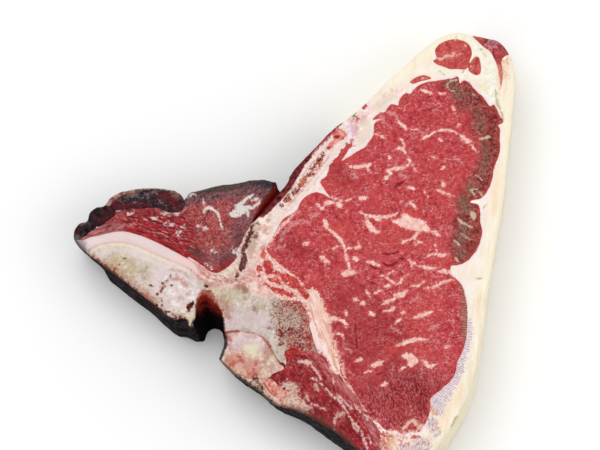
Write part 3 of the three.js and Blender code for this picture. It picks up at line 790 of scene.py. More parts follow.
bone = paint.layers(bone, [
    ("yellow", (182, 158, 104), 2.0, 5.0, 0.55),
    ("growth_haze", (226, 212, 210), 2.4, 1.6, 0.75),
    ("round_pale", pale, 2.0, 1.8, 0.8),
    ("growth_cream", (236, 216, 196), 1.0, 0.7, 0.85),
    ("swirl", (186, 142, 122), 0.7, 1.4, 0.7),
    # painted highlights on the lumps of the round body
    ("white_lumps", (240, 230, 232), 0.7, 2.0, 0.8),
    ("lilac_low", lilac, 2.2, 1.6, 0.8),
    ("pink_top", joint, 2.0, 1.6, 0.85),
    ("brown", (142, 92, 76), 1.0, 2.0, 0.7)])
cover = paint.mark("spongy") + paint.ragged_edge.swing(14) + pores.swing(16)
sponge = paint.layers(sponge, [
    ("red_spongy", (166, 44, 42), 2.2, 4.0, 0.85),
    (pores, 0.51, 0.62, (214, 192, 178), 0.7),
    (pores, 0.49, 0.39, (98, 36, 34), 0.85)])
bone = paint.layers(bone, [
    (cover, 2.4, -2.8, sponge)])
cover = paint.mark("blood") + paint.ragged_edge.swing(5) + pores.swing(5)
finger = paint.mix(paint.noise((6, 1.3, 6), 4, 0.66, turn=52), (212, 184, 176), (252, 236, 228))
bone = paint.layers(bone, [
    (cover, 0.8, -0.8, (pores, 0.45, 0.62, (112, 14, 20), (182, 116, 104)), 0.9),
    ("rust", (156, 84, 62), 1.4, 2.0, 0.6),
    ("dots", (156, 100, 76), 0.5, 0.9)])
finger = paint.layers(finger, [
    ("pink_streak", (214, 132, 126), 0.35, 1.0, 0.6)])
finger = paint.grained(finger, grain, 0.8)
finger = paint.layers(finger, [
    ("rusty_marrow", (pores, 0.42, 0.6, (150, 62, 46), (218, 148, 120)), 0.5, 1.4),
    ("marrow", (pores, 0.44, 0.6, (96, 14, 16), (206, 132, 116)), 0.35, 1.8),
    ("marrow_tip", (pores, 0.4, 0.6, (190, 52, 56), (222, 128, 120)), 0.5, 1.0, 0.9),
    ("marrow_pale", (232, 172, 152), 0.4, 0.8, 0.8),
    ("marrow_core", (142, 14, 20), 0.35, 0.6, 0.9)])
cream = paint.tones(stain, 0.38, 0.62, (206, 158, 146), (244, 226, 216))
cream = paint.grained(cream, grain, 1.1)
fringe = paint.mark("rim") + paint.ragged_edge.swing(1.8) + pores.swing(2.2)
# The canal's wall is dried crust like the outer side, but it is painted near black, with red only by its
# mouth and in its upper part: painted shade deeper in the canal's hollow, below the real red of its rim.
crust = paint.tones(paint.mark("canal_shade"), 0.4, -0.4, paint.skin(), (9, 4, 5))
canal_red_above_shade = paint.rise(paint.mark("canal_mouth") + stain.swing(8), 1.2, -1.2)
canal_red_above_shade = canal_red_above_shade * paint.rise(paint.height() + stain.swing(12), 14, 29)
crust = paint.mix(canal_red_above_shade, crust, paint.tones(stain, 0.36, 0.64, (96, 12, 10), (186, 58, 44)))
bone = paint.layers(bone, [
    (paint.mark("finger"), 0.8, -0.8, finger),
    ("cream_joint", cream, 1.2, 1.0),
    ("grey_joint", (190, 164, 148), 1.2, 2.0, 0.8),
    ("body_line", (188, 98, 88), 0.3, 0.8, 0.8),
    ("dark_strip", (pores, 0.42, 0.62, (58, 14, 20), (140, 74, 72)), 0.5, 1.2),
    ("dots", (104, 62, 46), 0.25, 1.4, 0.8),
    ("red_side", (pores, 0.4, 0.62, (140, 28, 34), (220, 122, 118)), 0.5, 1.2),
    (paint.mark("dark_side") + paint.ragged_edge.swing(1.2), 0.35, -0.35, (paint.noise(1.8, 4, 0.7), 0.36,
        0.64, (18, 10, 16), (142, 50, 56))),
    ("saw_rust", (168, 106, 76), 1.2, 2.6, 0.55),
    (fringe, 0.7, 0.2, (104, 28, 22), 0.9),
    ("pink_pores", (188, 118, 112), 0.8, 1.4, 0.65),
    ("pits", (84, 20, 12), 0.4, 1.6),
    ("pit_rims", (222, 198, 166), 0.3, 0.8, 0.85),
    ("canal_red", (pores, 0.42, 0.6, (128, 24, 20), (196, 104, 86)), 0.6, 1.6, 0.9),
    ("joint_line", (140, 48, 42), 0.25, 0.5, 0.95),
    ("black_spot", (40, 22, 22), 0.3, 0.5),
    ("grey_tip", (148, 130, 132), 1.8, 1.6),
    (paint.mark("wall") + grain.swing(0.5), 0.3, 0.6, crust)])
vertebra = column(
    "vertebra", vertebra_field, paint.finish(bone, 0.62, grain * 0.2 + pores * 0.12), vertebra_marks, 0.07,
    leans_to_bone=False)


# Facet bone
# The piece of the joint's next bone that the same cut went through, below the thin joint line. It
# is sawn like the vertebra, cream with blood stains, and dried to a black crust at its low edge.

facet_field = claim([
    (206, 334), (224, 326), (250, 322), (274, 338), (286, 360), (284, 368), (278, 372), (274, 375),
    (269, 379), (261, 378), (264, 386), (270, 394), (280, 402), (281, 416), (235, 390), (206, 366)],
    ragged=0.12)
facet_marks = drawn(
    lilac=[[(226, 336), (240, 333), (256, 335), (264, 342), (262, 352), (246, 350), (228, 352)]],
    yellow=[[(243, 348), (250, 344), (258, 347), (257, 355), (250, 358), (245, 354)]],
    salmon=[[(224, 362), (232, 352), (246, 356), (258, 362), (262, 374), (252, 380), (238, 374),
        (226, 366)]],
    red=[(5, (230, 366), (236, 362)), (4, (230, 347)), (4, (253, 370), (254, 376)), (6, (226, 334),
        (230, 340)), (3, (247, 373), (250, 377)), (3, (226, 361)), (3, (256, 364)), (4, (239, 356),
        (243, 362))],
    joint_line=[(2.8, (222, 333), (232, 331.5), (240, 331.2)), (1.6, (240, 331.5), (255, 333.5), (265, 339),
        (273, 353), (281, 364)), (1.4, (262, 338), (268, 345), (269, 351)), (2.4, (263, 338))],
    cleft=[(3.4, (279, 362), (284, 365), (286, 369), (284, 374)), (2.4, (285, 371), (278, 372.5),
        (273, 375.5), (268, 380))],
    black=[(5, (236, 376), (250, 386), (262, 396), (272, 404)), (6, (256, 380), (262, 390))],
    canal_black=[(5, (223.5, 333), (225, 342), (222, 350), (219.5, 359))])
paint = Paint("facet_bone")
grain = paint.noise(1.6, 5, 0.72)
stain = paint.noise(3.6, 4, 0.66, shift=14)
bone = paint.tones(stain, 0.36, 0.64, (186, 142, 128), (228, 208, 190))
bone = paint.grained(bone, grain, 1.5)
lilac = paint.grained(paint.mix(stain, (198, 170, 170), (226, 206, 206)), grain, 1.2)
crust = paint.skin()
bone = paint.layers(bone, [
    ("lilac", lilac, 1.8, 1.4, 0.8),
    ("yellow", (226, 218, 184), 1.4, 1.4, 0.75),
    ("salmon", (198, 118, 104), 2.0, 3.4, 0.6),
    ("red", (168, 60, 50), 0.8, 1.6, 0.7),
    ("joint_line", (160, 84, 78), 0.25, 0.4, 0.8),
    ("black", (stain, 0.4, 0.56, (30, 24, 24), (150, 116, 96)), 0.9, 3.4),
    ("cleft", (104, 14, 12), 0.3, 0.5),
    ("canal_black", (46, 16, 18), 0.5, 1.0),
    (paint.mark("rim"), 1.1, 0.3, (70, 56, 46), 0.8),
    (paint.mark("wall") + grain.swing(0.5), 0.3, 0.6, crust)])
facet_bone = column(
    "facet_bone", facet_field, paint.finish(bone, 0.6, grain * 0.22), facet_marks, 0.07,
    leans_to_bone=False)


# Gristle
# A salmon-coloured strip of joint gristle between the facet bone and the small back muscle. It is
# rubbery and damp, with orange-red lines along the bone.

gristle_field = claim([
    (255, 370), (260, 378), (268, 378), (274, 381), (279, 387), (286, 390.5), (290, 394.5), (285, 397.5),
    (281, 399), (288, 408), (282, 418), (272, 412), (262, 396)], ragged=0.1)
gristle_marks = drawn(
    orange=[(3, (260, 379), (265, 387), (271, 395), (278, 402)), (2, (268, 381), (272, 390), (278, 397))])
paint = Paint("joint_gristle")
gum = paint.tones(paint.noise((1.2, 5, 5), 4, 0.66, turn=-35), 0.35, 0.65, (186, 88, 78), (228, 176, 158))
gum = paint.layers(gum, [
    (paint.noise(2.0, 4, 0.72, shift=4), 0.52, 0.62, (232, 206, 190), 0.7),
    (paint.noise(1.3, 4, 0.72, shift=5), 0.46, 0.36, (140, 34, 32), 0.7),
    ("orange", (186, 72, 52), 0.5, 1.0, 0.8),
    (paint.mark("rim"), 1.6, 0.3, (96, 60, 40), 0.8)])
gum = paint.walled(gum)
gristle = column(
    "gristle", gristle_field,
    paint.finish(gum, 0.4, paint.noise(1.0, 3) * 0.14, gloss=0.1, wet=0.1), gristle_marks, 0.05,
    leans_to_bone=False)


# Strip loin
# The large muscle on one side of the T: damp red meat cut across its grain, flecked and veined
# with cream fat, gone brown along the fat cap and darker towards its lower end.

strip_outline = [
    (266.8, 248), (267.7, 252.7), (271.3, 257), (275.7, 260.7), (285.5, 268.8), (295.4, 276),
    (300, 280.4), (303.4, 285.7), (307, 289.3), (316, 290.2), (318.6, 293.8), (321.3, 305.4),
    (324.8, 311.6), (330, 316), (327, 323), (330, 332), (334, 347), (338, 358), (341, 372),
    (348, 385), (354.5, 393), (358, 399.3), (366, 412.7), (370.5, 419), (376.8, 421.6), (385.7, 429.6),
    (391, 431), (396.4, 430), (402.7, 435.4), (409, 432.3), (418.8, 432.3), (423, 427), (428.6, 415.4),
    (430.5, 404.6), (430.5, 399.3), (433.2, 395.7), (442, 388.6), (451, 380.5), (456.4, 370.7),
    (457.3, 363.6), (462.7, 352), (466.3, 339.5), (467.5, 318), (467, 305), (463.9, 290), (459.5, 282),
    (451.4, 275), (450.5, 270.5), (451.4, 266), (458.6, 265), (465.7, 261.6), (473, 255.4), (479, 245.5),
    (482.2, 233), (480.4, 221.4), (479.6, 209), (478.5, 205), (470.2, 201.8), (478.5, 199),
    (482.7, 197.3), (489.4, 187.5), (493, 175), (496, 163.4), (500, 152), (500, 138.8), (500, 129),
    (498.3, 125.4), (503.7, 121.8), (500, 115.5), (493.8, 104.8), (490.7, 106.6), (483.6, 97.7),
    (474.6, 89.2), (467.5, 81.6), (464, 80.7), (460, 83.4), (457.7, 77), (451.4, 78.5), (438, 80.7),
    (423, 83.4), (414, 89.6), (410.4, 93.7), (406, 93.2), (399.2, 100.4), (398.3, 105.7), (391.6, 104),
    (387, 108), (385.4, 111.6), (379, 113.4), (372.4, 120), (382.7, 118.5), (374.6, 123.2),
    (373.3, 134.4), (367, 144.6), (364, 148.2), (355, 152.7), (341.6, 161), (349.5, 147.5), (346, 146.5),
    (337, 157), (330, 166), (326.4, 176), (320.2, 181.3), (326, 192), (331, 199.6), (328.2, 197.3),
    (318.4, 192.7), (310.4, 193.8), (301.4, 201), (297, 210), (283, 219.6), (275.7, 231.3), (268.6, 243)]
strip_field = claim(strip_outline, ragged=0.3)


def along(guide):
    """How far along a guide line, in mm, the nearest place on it lies."""
    line = smooth(guide, closed=False, steps=4)
    nearest, reached, length = np.full(X.shape, 1e9), np.zeros(X.shape), 0.0
    for start, end in zip(line[:-1], line[1:]):
        stretch = np.hypot(*(end - start))
        dx, dy = (end - start) / stretch
        share = np.clip((X - start[0]) * dx + (Y - start[1]) * dy, 0, stretch)
        away = np.hypot(X - start[0] - share * dx, Y - start[1] - share * dy)
        reached = np.where(away < nearest, length + share, reached)
        nearest = np.minimum(nearest, away)
        length += stretch
    return reached


strip_marks = drawn(
    faint=[(4.5, (280, 241), (285, 231), (294, 224), (303, 220)), (5, (291, 215), (298, 212)),
        (5, (303, 221), (309, 223)), (5, (311, 217), (318, 214)), (5, (353, 172), (356, 177), (354, 180)),
        (5, (380, 115), (386, 124)), (5, (388, 112), (396, 116)), (5, (400, 175), (406, 178)),
        (1.4, (422, 365), (421, 372), (421, 381)), (1.6, (393, 366), (392, 376), (394, 382)),
        (1.4, (411, 404), (412, 414)), (5, (430, 330), (438, 325)), (4, (392, 328), (400, 333)),
        (3, (438, 233), (443, 226)), (4, (404, 205), (412, 202)), (4, (455, 158), (462, 163)),
        (5, (276, 249), (284, 246)), (3, (344, 348), (352, 352)), (3, (412, 300), (420, 299))],
    slit=[(2.4, (395, 187), (399, 184.5), (405, 181.5)), (1.7, (354.8, 318), (356, 334), (357, 348)),
        (1.8, (335, 214), (338, 219), (342, 220.5)), (2.4, (370, 265), (374, 268), (380, 269)),
        (2.4, (382, 253.5), (390, 254.5), (398, 252)), (3.0, (383, 264), (391, 266), (397, 262)),
        (2.4, (399, 259), (408, 260)), (1.6, (366, 217), (371, 221.5), (375, 225)), (2.6, (400, 370.5),
        (405, 370)), (2.0, (366, 281), (376, 284)), (2.6, (302, 277), (305, 280)), (2.6, (490, 120),
        (495, 116)), (3.0, (466, 217), (469, 216)), (2, (376, 375), (382, 373)), (2, (393, 398),
        (394, 408)), (2, (397, 412), (399, 419))],
    bright=[(6, (366, 217), (374, 224)), (9, (384, 221), (392, 224), (400, 229)), (7, (406, 211),
        (418, 214)), (8, (322, 182), (326, 190)), (9, (334, 226), (345, 232)), (7, (352, 252), (356, 255)),
        (8, (390, 349), (404, 350)), (7, (420, 309), (436, 316)), (8, (440, 260), (446, 263)),
        (6, (493, 112), (499, 118)), (8, (280, 285), (296, 290)), (8, (407, 432), (412, 428), (418, 432))],
    seam_side=[(4.5, (312, 288), (320, 298), (324, 312), (330, 330), (338, 356), (345, 378)),
        (3, (345, 378), (356, 398), (368, 418)), (6, (322, 310), (330, 318), (338, 319)), (3, (271, 258),
        (288, 272), (302, 284)), (4, (268, 246), (276, 232), (292, 216)), (7, (384, 431), (402, 435),
        (422, 432)), (4, (371, 420), (380, 427))],
    brown=[[(444, 76), (441, 84), (452, 92), (459, 108), (470, 116), (475, 132), (484, 148), (478, 165),
        (470, 180), (462, 195), (457, 215), (453, 235), (453, 252), (462, 266), (480, 260), (500, 200),
        (512, 120), (480, 80)]],
    grey_brown=[(11, (451, 84), (462, 97)), (8, (484, 141), (485, 158), (482, 173)), (10, (473, 182),
        (470, 192)), (12, (462, 199), (468, 212)), (12, (464, 227), (459, 243)), (9, (460, 252),
        (463, 257)), (8, (478, 115), (483, 128))],
    pale_hair=[(1.8, (447, 84), (452, 80.5), (457, 80)), (1.8, (447, 84), (449, 90), (454, 91)),
        (1.6, (472, 92), (475, 97)), (1.8, (476, 175), (482, 180)), (1.6, (470, 190), (478, 189.5)),
        (1.5, (472, 192), (476, 197)), (1.5, (480, 193), (484, 197)), (3.0, (458, 219), (463, 223)),
        (1.8, (464, 223.5), (472, 227.5)), (5.5, (472, 213), (474, 218)), (1.6, (461, 233), (470, 240)),
        (1.5, (454, 240), (461, 247)), (3.4, (480, 139), (489, 137)), (2.6, (456, 258), (458, 262)),
        (3, (469, 262), (464, 265)), (3, (478, 249), (481, 244))],
    ridge=[(3.4, (401, 431), (407, 425), (413, 420.5), (418, 426), (423, 432)), (5, (421, 426),
        (424, 430))],
    dark_hatch=[(11, (463, 276), (467, 300), (467, 322), (465, 340))])
strip_marks.update(drawn(taper=0.95, fleck=[(3.2, (359, 212), (366, 215.5), (377, 217.5), (386, 217.5),
    (393, 216), (399, 212.5)), (4.5, (375, 218.5), (381, 220.5)), (5.5, (366, 220), (369, 225),
    (373, 230.5), (379, 233)), (3.6, (431, 231), (435, 233), (439, 236)), (3.2, (420, 230), (416, 236),
    (411, 239.5)), (1.8, (411, 239.5), (406, 241), (401, 244)), (1.8, (414, 239), (418, 242), (423, 244)),
    (1.6, (415, 242), (415.5, 246)), (5, (325, 221), (327, 228)), (3.4, (326, 227), (331, 231.5),
    (337, 236.5), (342, 243), (345, 251)), (3.0, (345, 249), (346, 257), (349, 266), (349, 272)),
    (5.5, (342, 274.5), (348, 273), (355, 272.5)), (2.0, (343, 245), (337, 247.5), (332, 250)),
    (2.0, (345, 249), (352, 248), (359, 247.5), (358, 241)), (3.4, (346, 164.5), (352, 167), (360, 167),
    (368, 166), (372, 164)), (1.6, (366, 169), (372, 173)), (1.8, (330, 196.5), (338, 200), (347, 200.5),
    (355, 197.5)), (4.5, (360, 199), (366, 198)), (4.5, (326, 203), (332, 203)), (5, (337, 204),
    (341, 207)), (2.0, (325, 205), (321, 209), (316, 202)), (3.4, (398, 122), (403, 126), (407, 130)),
    (1.6, (412, 130), (420, 129.5)), (1.8, (398, 138), (403, 142), (405, 149)), (3.2, (396, 148.5),
    (402, 149), (406, 154)), (3.2, (408, 158), (410, 163), (405, 168)), (3.4, (405, 167.5), (397, 169),
    (387, 170)), (1.8, (411, 163), (416, 171.5)), (4.0, (388, 171), (391, 174)), (2.4, (389, 157),
    (390, 158.5)), (3.2, (384, 179), (388, 178)), (1.5, (374, 134), (380, 136), (386, 139)),
    (3.0, (421, 141), (427, 137), (434, 133)), (2.0, (434, 133), (443, 130), (452, 131.5), (459, 135)),
    (5.0, (461, 136), (466, 141), (471, 142)), (2.0, (470, 143), (474, 149), (478, 152)), (3.4, (420, 90),
    (425, 91), (432, 94)), (2.0, (437, 92), (442, 94), (446, 93)), (2.4, (452, 107), (454, 110)),
    (1.6, (455, 113), (457, 116)), (2.0, (439, 139), (443, 142)), (1.6, (457, 127), (460, 124)),
    (4.5, (442, 183), (443.5, 187)), (3.6, (409, 188.5), (413.5, 189)), (2.6, (436, 190), (443, 192.5),
    (454, 197)), (1.4, (424, 191), (428, 197)), (2.2, (407, 202), (413, 205), (416, 210)), (4.4, (354, 258),
    (358, 260)), (4.2, (320, 256), (325, 260), (329, 262)), (3.4, (367, 262), (373, 263), (380, 267)),
    (2.4, (378, 276), (384, 276.5), (391, 281.5), (398, 284), (404, 277), (409, 274)), (2.0, (388, 274.5),
    (394, 271)), (3.6, (386, 287), (390, 285)), (2.6, (366, 290), (370, 298)), (2.0, (373, 294),
    (381, 290)), (5.0, (394, 296), (400, 295.5), (407, 291)), (3.6, (382, 304.5), (388, 301.5),
    (396, 298.5)), (2.6, (384, 311), (390, 311), (395, 307)), (3.0, (401, 314), (405, 312)),
    (4.0, (361, 303), (364, 304)), (4.0, (354, 299), (357, 300)), (3.6, (345, 312), (347, 315)),
    (4.2, (370, 313), (374, 315)), (4.4, (415, 318), (421, 315.5), (433, 311.5)), (2.2, (395, 324),
    (402, 318)), (2.4, (411, 286.5), (418, 286), (425, 281)), (3.0, (425, 288.5), (434, 287), (443, 282),
    (454, 280)), (2.4, (408, 260), (416, 264.5)), (1.5, (411, 264), (412, 269)), (3.2, (418, 266),
    (426, 268), (436, 269)), (4.2, (438, 272), (446, 271.5), (459, 275)), (2.8, (424, 258), (433, 254.5),
    (442, 255.5), (449, 253)), (1.6, (436, 250), (437, 254)), (2.0, (435, 244), (435.5, 247.5)),
    (3.0, (333, 318.5), (342, 320.5), (346, 324), (347, 329)), (2.0, (335, 333), (341, 334), (344, 339)),
    (4.0, (396, 346), (404, 343.5), (415, 340), (428, 339.5)), (3.4, (420, 360), (426, 363), (430, 367),
    (437, 364)), (2.0, (399, 370.5), (405, 367)), (4.6, (371, 366.5), (377, 364.5), (383, 361.5)),
    (3.0, (381, 386), (387, 383)), (3.4, (356, 361), (362, 359)), (2.0, (365, 373), (373, 370)),
    (2.0, (445, 347), (451, 346)), (3.0, (303, 244), (309, 243)), (1.4, (431, 157), (437, 159)),
    (2.0, (441, 170), (444, 167)), [(391, 221), (399, 219.5), (403, 214.5), (409, 216.5), (417, 218.5),
    (424, 221), (428, 226), (431, 231), (424, 232), (416, 231), (405, 229), (397, 225)], [(401, 357),
    (409, 353), (414, 356.5), (418, 361), (411, 367.5), (407.5, 365), (407, 360)]]))
strip_marks.update(drawn(reach=12, deep=[(70, (350, 300), (378, 350), (396, 404)), (50, (366, 382),
    (430, 392)), (30, (276, 236), (312, 258)), (18, (330, 168), (345, 182))]))
strip_marks["hatch_along"] = along([(455, 262), (466, 290), (470, 320), (466, 350), (454, 380), (436, 400)])
SLANT_FADE, UPRIGHT_FADE = 15, 12
broad = drawn(
    reach=30, slant=[(110, (350, 300), (460, 290)), (60, (370, 350), (450, 330))],
    upright=[(90, (385, 425), (425, 415))])
strip_marks["slant"] = broad["slant"] / SLANT_FADE
strip_marks["upright"] = broad["upright"] / UPRIGHT_FADE


def lean(paint, deep, light, fleck, dots=1.0, turn=0.0, size=1.0):
    """A muscle cut across its grain: blotches of light and deep red, pale skins in stretches
    between its bundles, fine flecks of fat in drifts, and dark gaps. Gives colour and bumps."""
    blotch = paint.noise(2.2 * size, 5, 0.74, shift=1, turn=turn)
    drift = paint.noise(6.0, 3, 0.6, shift=3)
    skins = paint.web((2.4 * size, 1.5 * size, 2.4), turn)
    shown = paint.rise(paint.noise(1.3 * size, 3, 0.6, shift=12) + drift.swing(0.6), 0.5, 0.62)
    specks = paint.noise((0.95 * size, 0.62 * size, 1.2), 3, 0.7, shift=4, turn=turn + 25)
    shade = paint.noise((1.3 * size, 0.8 * size, 1.5), 3, 0.7, shift=6, turn=turn)
    colour = paint.layers((blotch, 0.38, 0.62, deep, light), [
        (skins, 0.12, 0.03, fleck, shown * 0.5),
        (specks + drift.swing(0.3), 0.58, 0.7, fleck, 0.55),
        (shade, 0.43, 0.29, [channel * 0.6 for channel in deep], 0.75 * dots)])
    return colour, blotch * 0.2 + specks * 0.2


def saw_lines(paint, spacing, sway_length, sway, grit):
    """Ridges and furrows that the saw left across a guide line, a spacing apart, as a sine of the
    distance along the guide. Noise sways them and breaks them up."""
    waves = paint.mark("hatch_along") * (2 * math.pi / spacing) + paint.noise(sway_length, 3) * sway
    return waves.wave() + paint.noise(0.9, 3, 0.7, shift=18).swing(grit)


paint = Paint("strip_loin_meat")
colour, bumps = lean(paint, (155, 28, 36), (203, 75, 80), (240, 178, 178))
slanted = paint.noise((2.6, 0.65, 2.0), 4, 0.66, shift=7, turn=22)
cover = paint.rise(slanted, 0.55, 0.66) * paint.rise(paint.mark("slant"), 0.8, -0.8)
colour = paint.mix(cover * 0.55, colour, (224, 140, 136))
grain = paint.noise((0.85, 1.5, 1.4), 4, 0.72, shift=8, turn=12, bend=1.0)
upright = paint.rise(paint.mark("upright"), 0.9, -0.6)
shadow = paint.mark("deep") + paint.noise(9, 3, 0.6, shift=19).swing(18)
colour = paint.layers(colour, [
    (grain, 0.52, 0.58, (206, 126, 134), upright * 0.95),
    (grain, 0.51, 0.44, (84, 0, 12), upright)])
warm = paint.noise(16, 2, 0.5, shift=11)
blotch_fine = paint.noise(1.2, 4, 0.74, shift=25)
brown_edge = paint.mark("brown") + paint.noise(4.5, 3, 0.6, shift=12).swing(9)
brown, _ = lean(paint, (92, 20, 20), (166, 68, 62), (212, 160, 148), 1.1, size=0.85)
edge = paint.mark("edge") + paint.noise(1.8, 2, shift=13).swing(1.6)
stripe = saw_lines(paint, 1.15, 2.0, 8, 7)
frayed = paint.noise((1.6, 0.7, 1.6), 4, 0.7, shift=16, turn=25)
faint = paint.mark("faint") + frayed.swing(9)
halo = paint.mark("fleck") + paint.ragged_edge.swing(3.4) + frayed.swing(2.8)
fat_tone = paint.tones(paint.noise(1.8, 3, 0.6, shift=15), 0.38, 0.62, (230, 172, 162), (246, 213, 201))
web = paint.mark("seam_side") + frayed.swing(3) + paint.ragged_edge.swing(7)
colour = paint.layers(colour, [
    (shadow, 3.0, -4.0, paint.mix(0.55, colour, (128, 8, 20)), 0.8),
    (warm, 0.35, 0.7, (201, 76, 72), 0.3),
    ("bright", (blotch_fine, 0.4, 0.6, (184, 36, 36), (214, 92, 82)), 1.6, 3.6, 0.6),
    (brown_edge, 3.6, -2.4, brown),
    ("grey_brown", (paint.noise(1.0, 4, 0.78), 0.4, 0.6, (78, 38, 32), (156, 122, 106)), 1.8, 3.4, 0.62),
    (edge, 1.6, 0.5, (186, 62, 52), 0.5),
    ("dark_hatch", (stripe, -1.6, 1.6, (88, 58, 46), (186, 146, 128)), 1.4, 3.4, 0.72),
    (faint, 0.3, -0.9, (216, 148, 150), 0.7),
    ("slit", (124, 4, 12), 0.3, 0.6, 0.95),
    (halo, 0.8, -0.1, (218, 118, 116), 0.5),
    (halo, 0.28, -0.42, fat_tone, 0.95),
    (web, 0.3, -0.5, fat_tone, 0.8),
    ("ridge", (232, 190, 170), 0.5, 1.2, 0.85),
    ("pale_hair", (206, 182, 160), 0.3, 0.8, 0.85)])
strip_loin = column(
    "strip_loin", strip_field,
    paint.finish(colour, paint.rise(bumps, 0.1, 0.3) * 0.2 + 0.3, bumps, gloss=0.14),
    strip_marks, 0.05, shows_at_side=False)


# Side muscle
# Small red muscle bits in the fat between the vertebra's body and the strip loin, with an
# orange-red lens at their upper end and pale fat between them.

side_field = claim([
    (262, 243), (266, 246), (272, 254), (285, 265), (300, 280), (308, 289), (312, 291), (308, 298),
    (306, 304), (300, 301.5), (290, 301), (276, 298), (264, 288), (256, 281), (253, 266), (257, 252)],
    ragged=0.3)
side_marks = drawn(
    red=[(6, (260, 246), (263, 254)), (5.5, (257, 267), (261, 270)), (3.4, (259, 276)), (9, (267, 262),
        (268.5, 268), (270, 274)), (8, (274, 273), (280, 276), (286, 278)), (12, (278, 276), (288, 280),
        (298, 286)), (7, (296, 285), (303, 290)), (4, (269, 279), (276, 281), (282, 285)), (3, (265, 284),
        (270, 286)), (6, (272, 288), (279, 291), (285, 293)), (5, (283, 292), (288, 294), (294, 296)),
        (6, (300, 291), (305, 294), (308, 297))],
    curl=[(1.8, (264, 277), (272, 275), (279, 278), (283, 284), (287, 287)), (1.6, (286, 288), (288, 282)),
        (1.5, (268, 283), (276, 286), (281, 288)), (2.4, (293, 291), (297, 290), (299, 294))],
    lens=[(6.5, (259, 246), (261, 251), (264, 257))])
paint = Paint("side_muscle_meat")
fat_tone = paint.tones(paint.noise(1.2, 4, 0.7), 0.36, 0.62, (214, 138, 126), (240, 212, 202))
colour, bumps = lean(paint, (152, 16, 22), (204, 58, 54), (232, 160, 150), 0.9)
blurred = paint.mark("red") + paint.ragged_edge.swing(5)
side = paint.tones(blurred, 0.4, -0.4, fat_tone, colour)
side = paint.layers(side, [
    ("curl", fat_tone, 0.35, 1.0, 0.9),
    ("lens", (212, 84, 66), 0.4, 0.8, 0.9)])
side_muscle = column(
    "side_muscle", side_field, paint.finish(side, 0.4, bumps, gloss=0.2),
    side_marks, 0.08, shows_at_side=False)


# Fat seam
# The soft wedge of fat that parts the strip loin from the small back muscle. It runs down from the
# vertebra to a thin line, pink-white on its left and peach on its right, with long folds.

seam_field = claim([
    (303, 284), (312, 289), (322, 290), (326, 300), (334, 318), (340, 345), (346, 366), (352, 384),
    (364, 404), (356, 396), (346, 384), (338, 373), (331, 372), (329, 366), (326, 358),
    (317, 351.5), (313.5, 340), (309, 325), (305, 309), (299.5, 300)], ragged=0.2)
seam_marks = drawn(
    white_side=[(8, (303, 300), (309, 318), (314, 336), (322, 352), (330, 362))],
    peach=[(8, (318, 300), (322, 318), (330, 342), (336, 362))],
    crease=[(1.6, (320, 316), (327, 327), (331, 338)), (1.6, (308, 300), (314, 320), (322, 345)),
        (1.4, (330, 345), (334, 360), (338, 371)), (1.2, (326, 300), (330, 315))],
    pink_foot=[(7, (332, 372), (338, 374), (346, 386), (354, 396))],
    red_border=[(3.4, (312, 288), (321, 292), (324, 302), (329, 314), (331, 326)), (3, (333, 340),
        (340, 362), (346, 378)), (3.6, (301, 298), (306, 308), (310, 322)), (3, (318, 350), (326, 360),
        (331, 372))])
paint = Paint("seam_fat")
folds = paint.noise((1.2, 6, 6), 4, 0.7, turn=20)
colour = paint.tones(folds, 0.36, 0.62, (222, 166, 152), (247, 226, 214))
red = paint.mark("red_border") + paint.noise((1.9, 1.2, 1.2), 4, 0.72, shift=4, turn=20).swing(9)
colour = paint.layers(colour, [
    ("peach", (238, 190, 164), 1.2, 1.4, 0.5),
    ("white_side", (244, 222, 222), 1.0, 1.6, 0.6),
    ("crease", (200, 124, 108), 0.4, 0.8, 0.7),
    ("pink_foot", (208, 128, 120), 0.8, 2.0, 0.7),
    (red, 0.3, -0.5, (196, 84, 80), 0.8)])
fat_seam = column(
    "fat_seam", seam_field,
    paint.finish(colour, 0.42, folds * 0.3, gloss=0.15, soft=0.1),
    seam_marks, 0.06, shows_at_side=False)


# Small back muscle
# The dark red muscle below the joint, cut across thick bundles with pale sinews running down it
# and patches of fat by the bone. Its outer side dried black and hard.

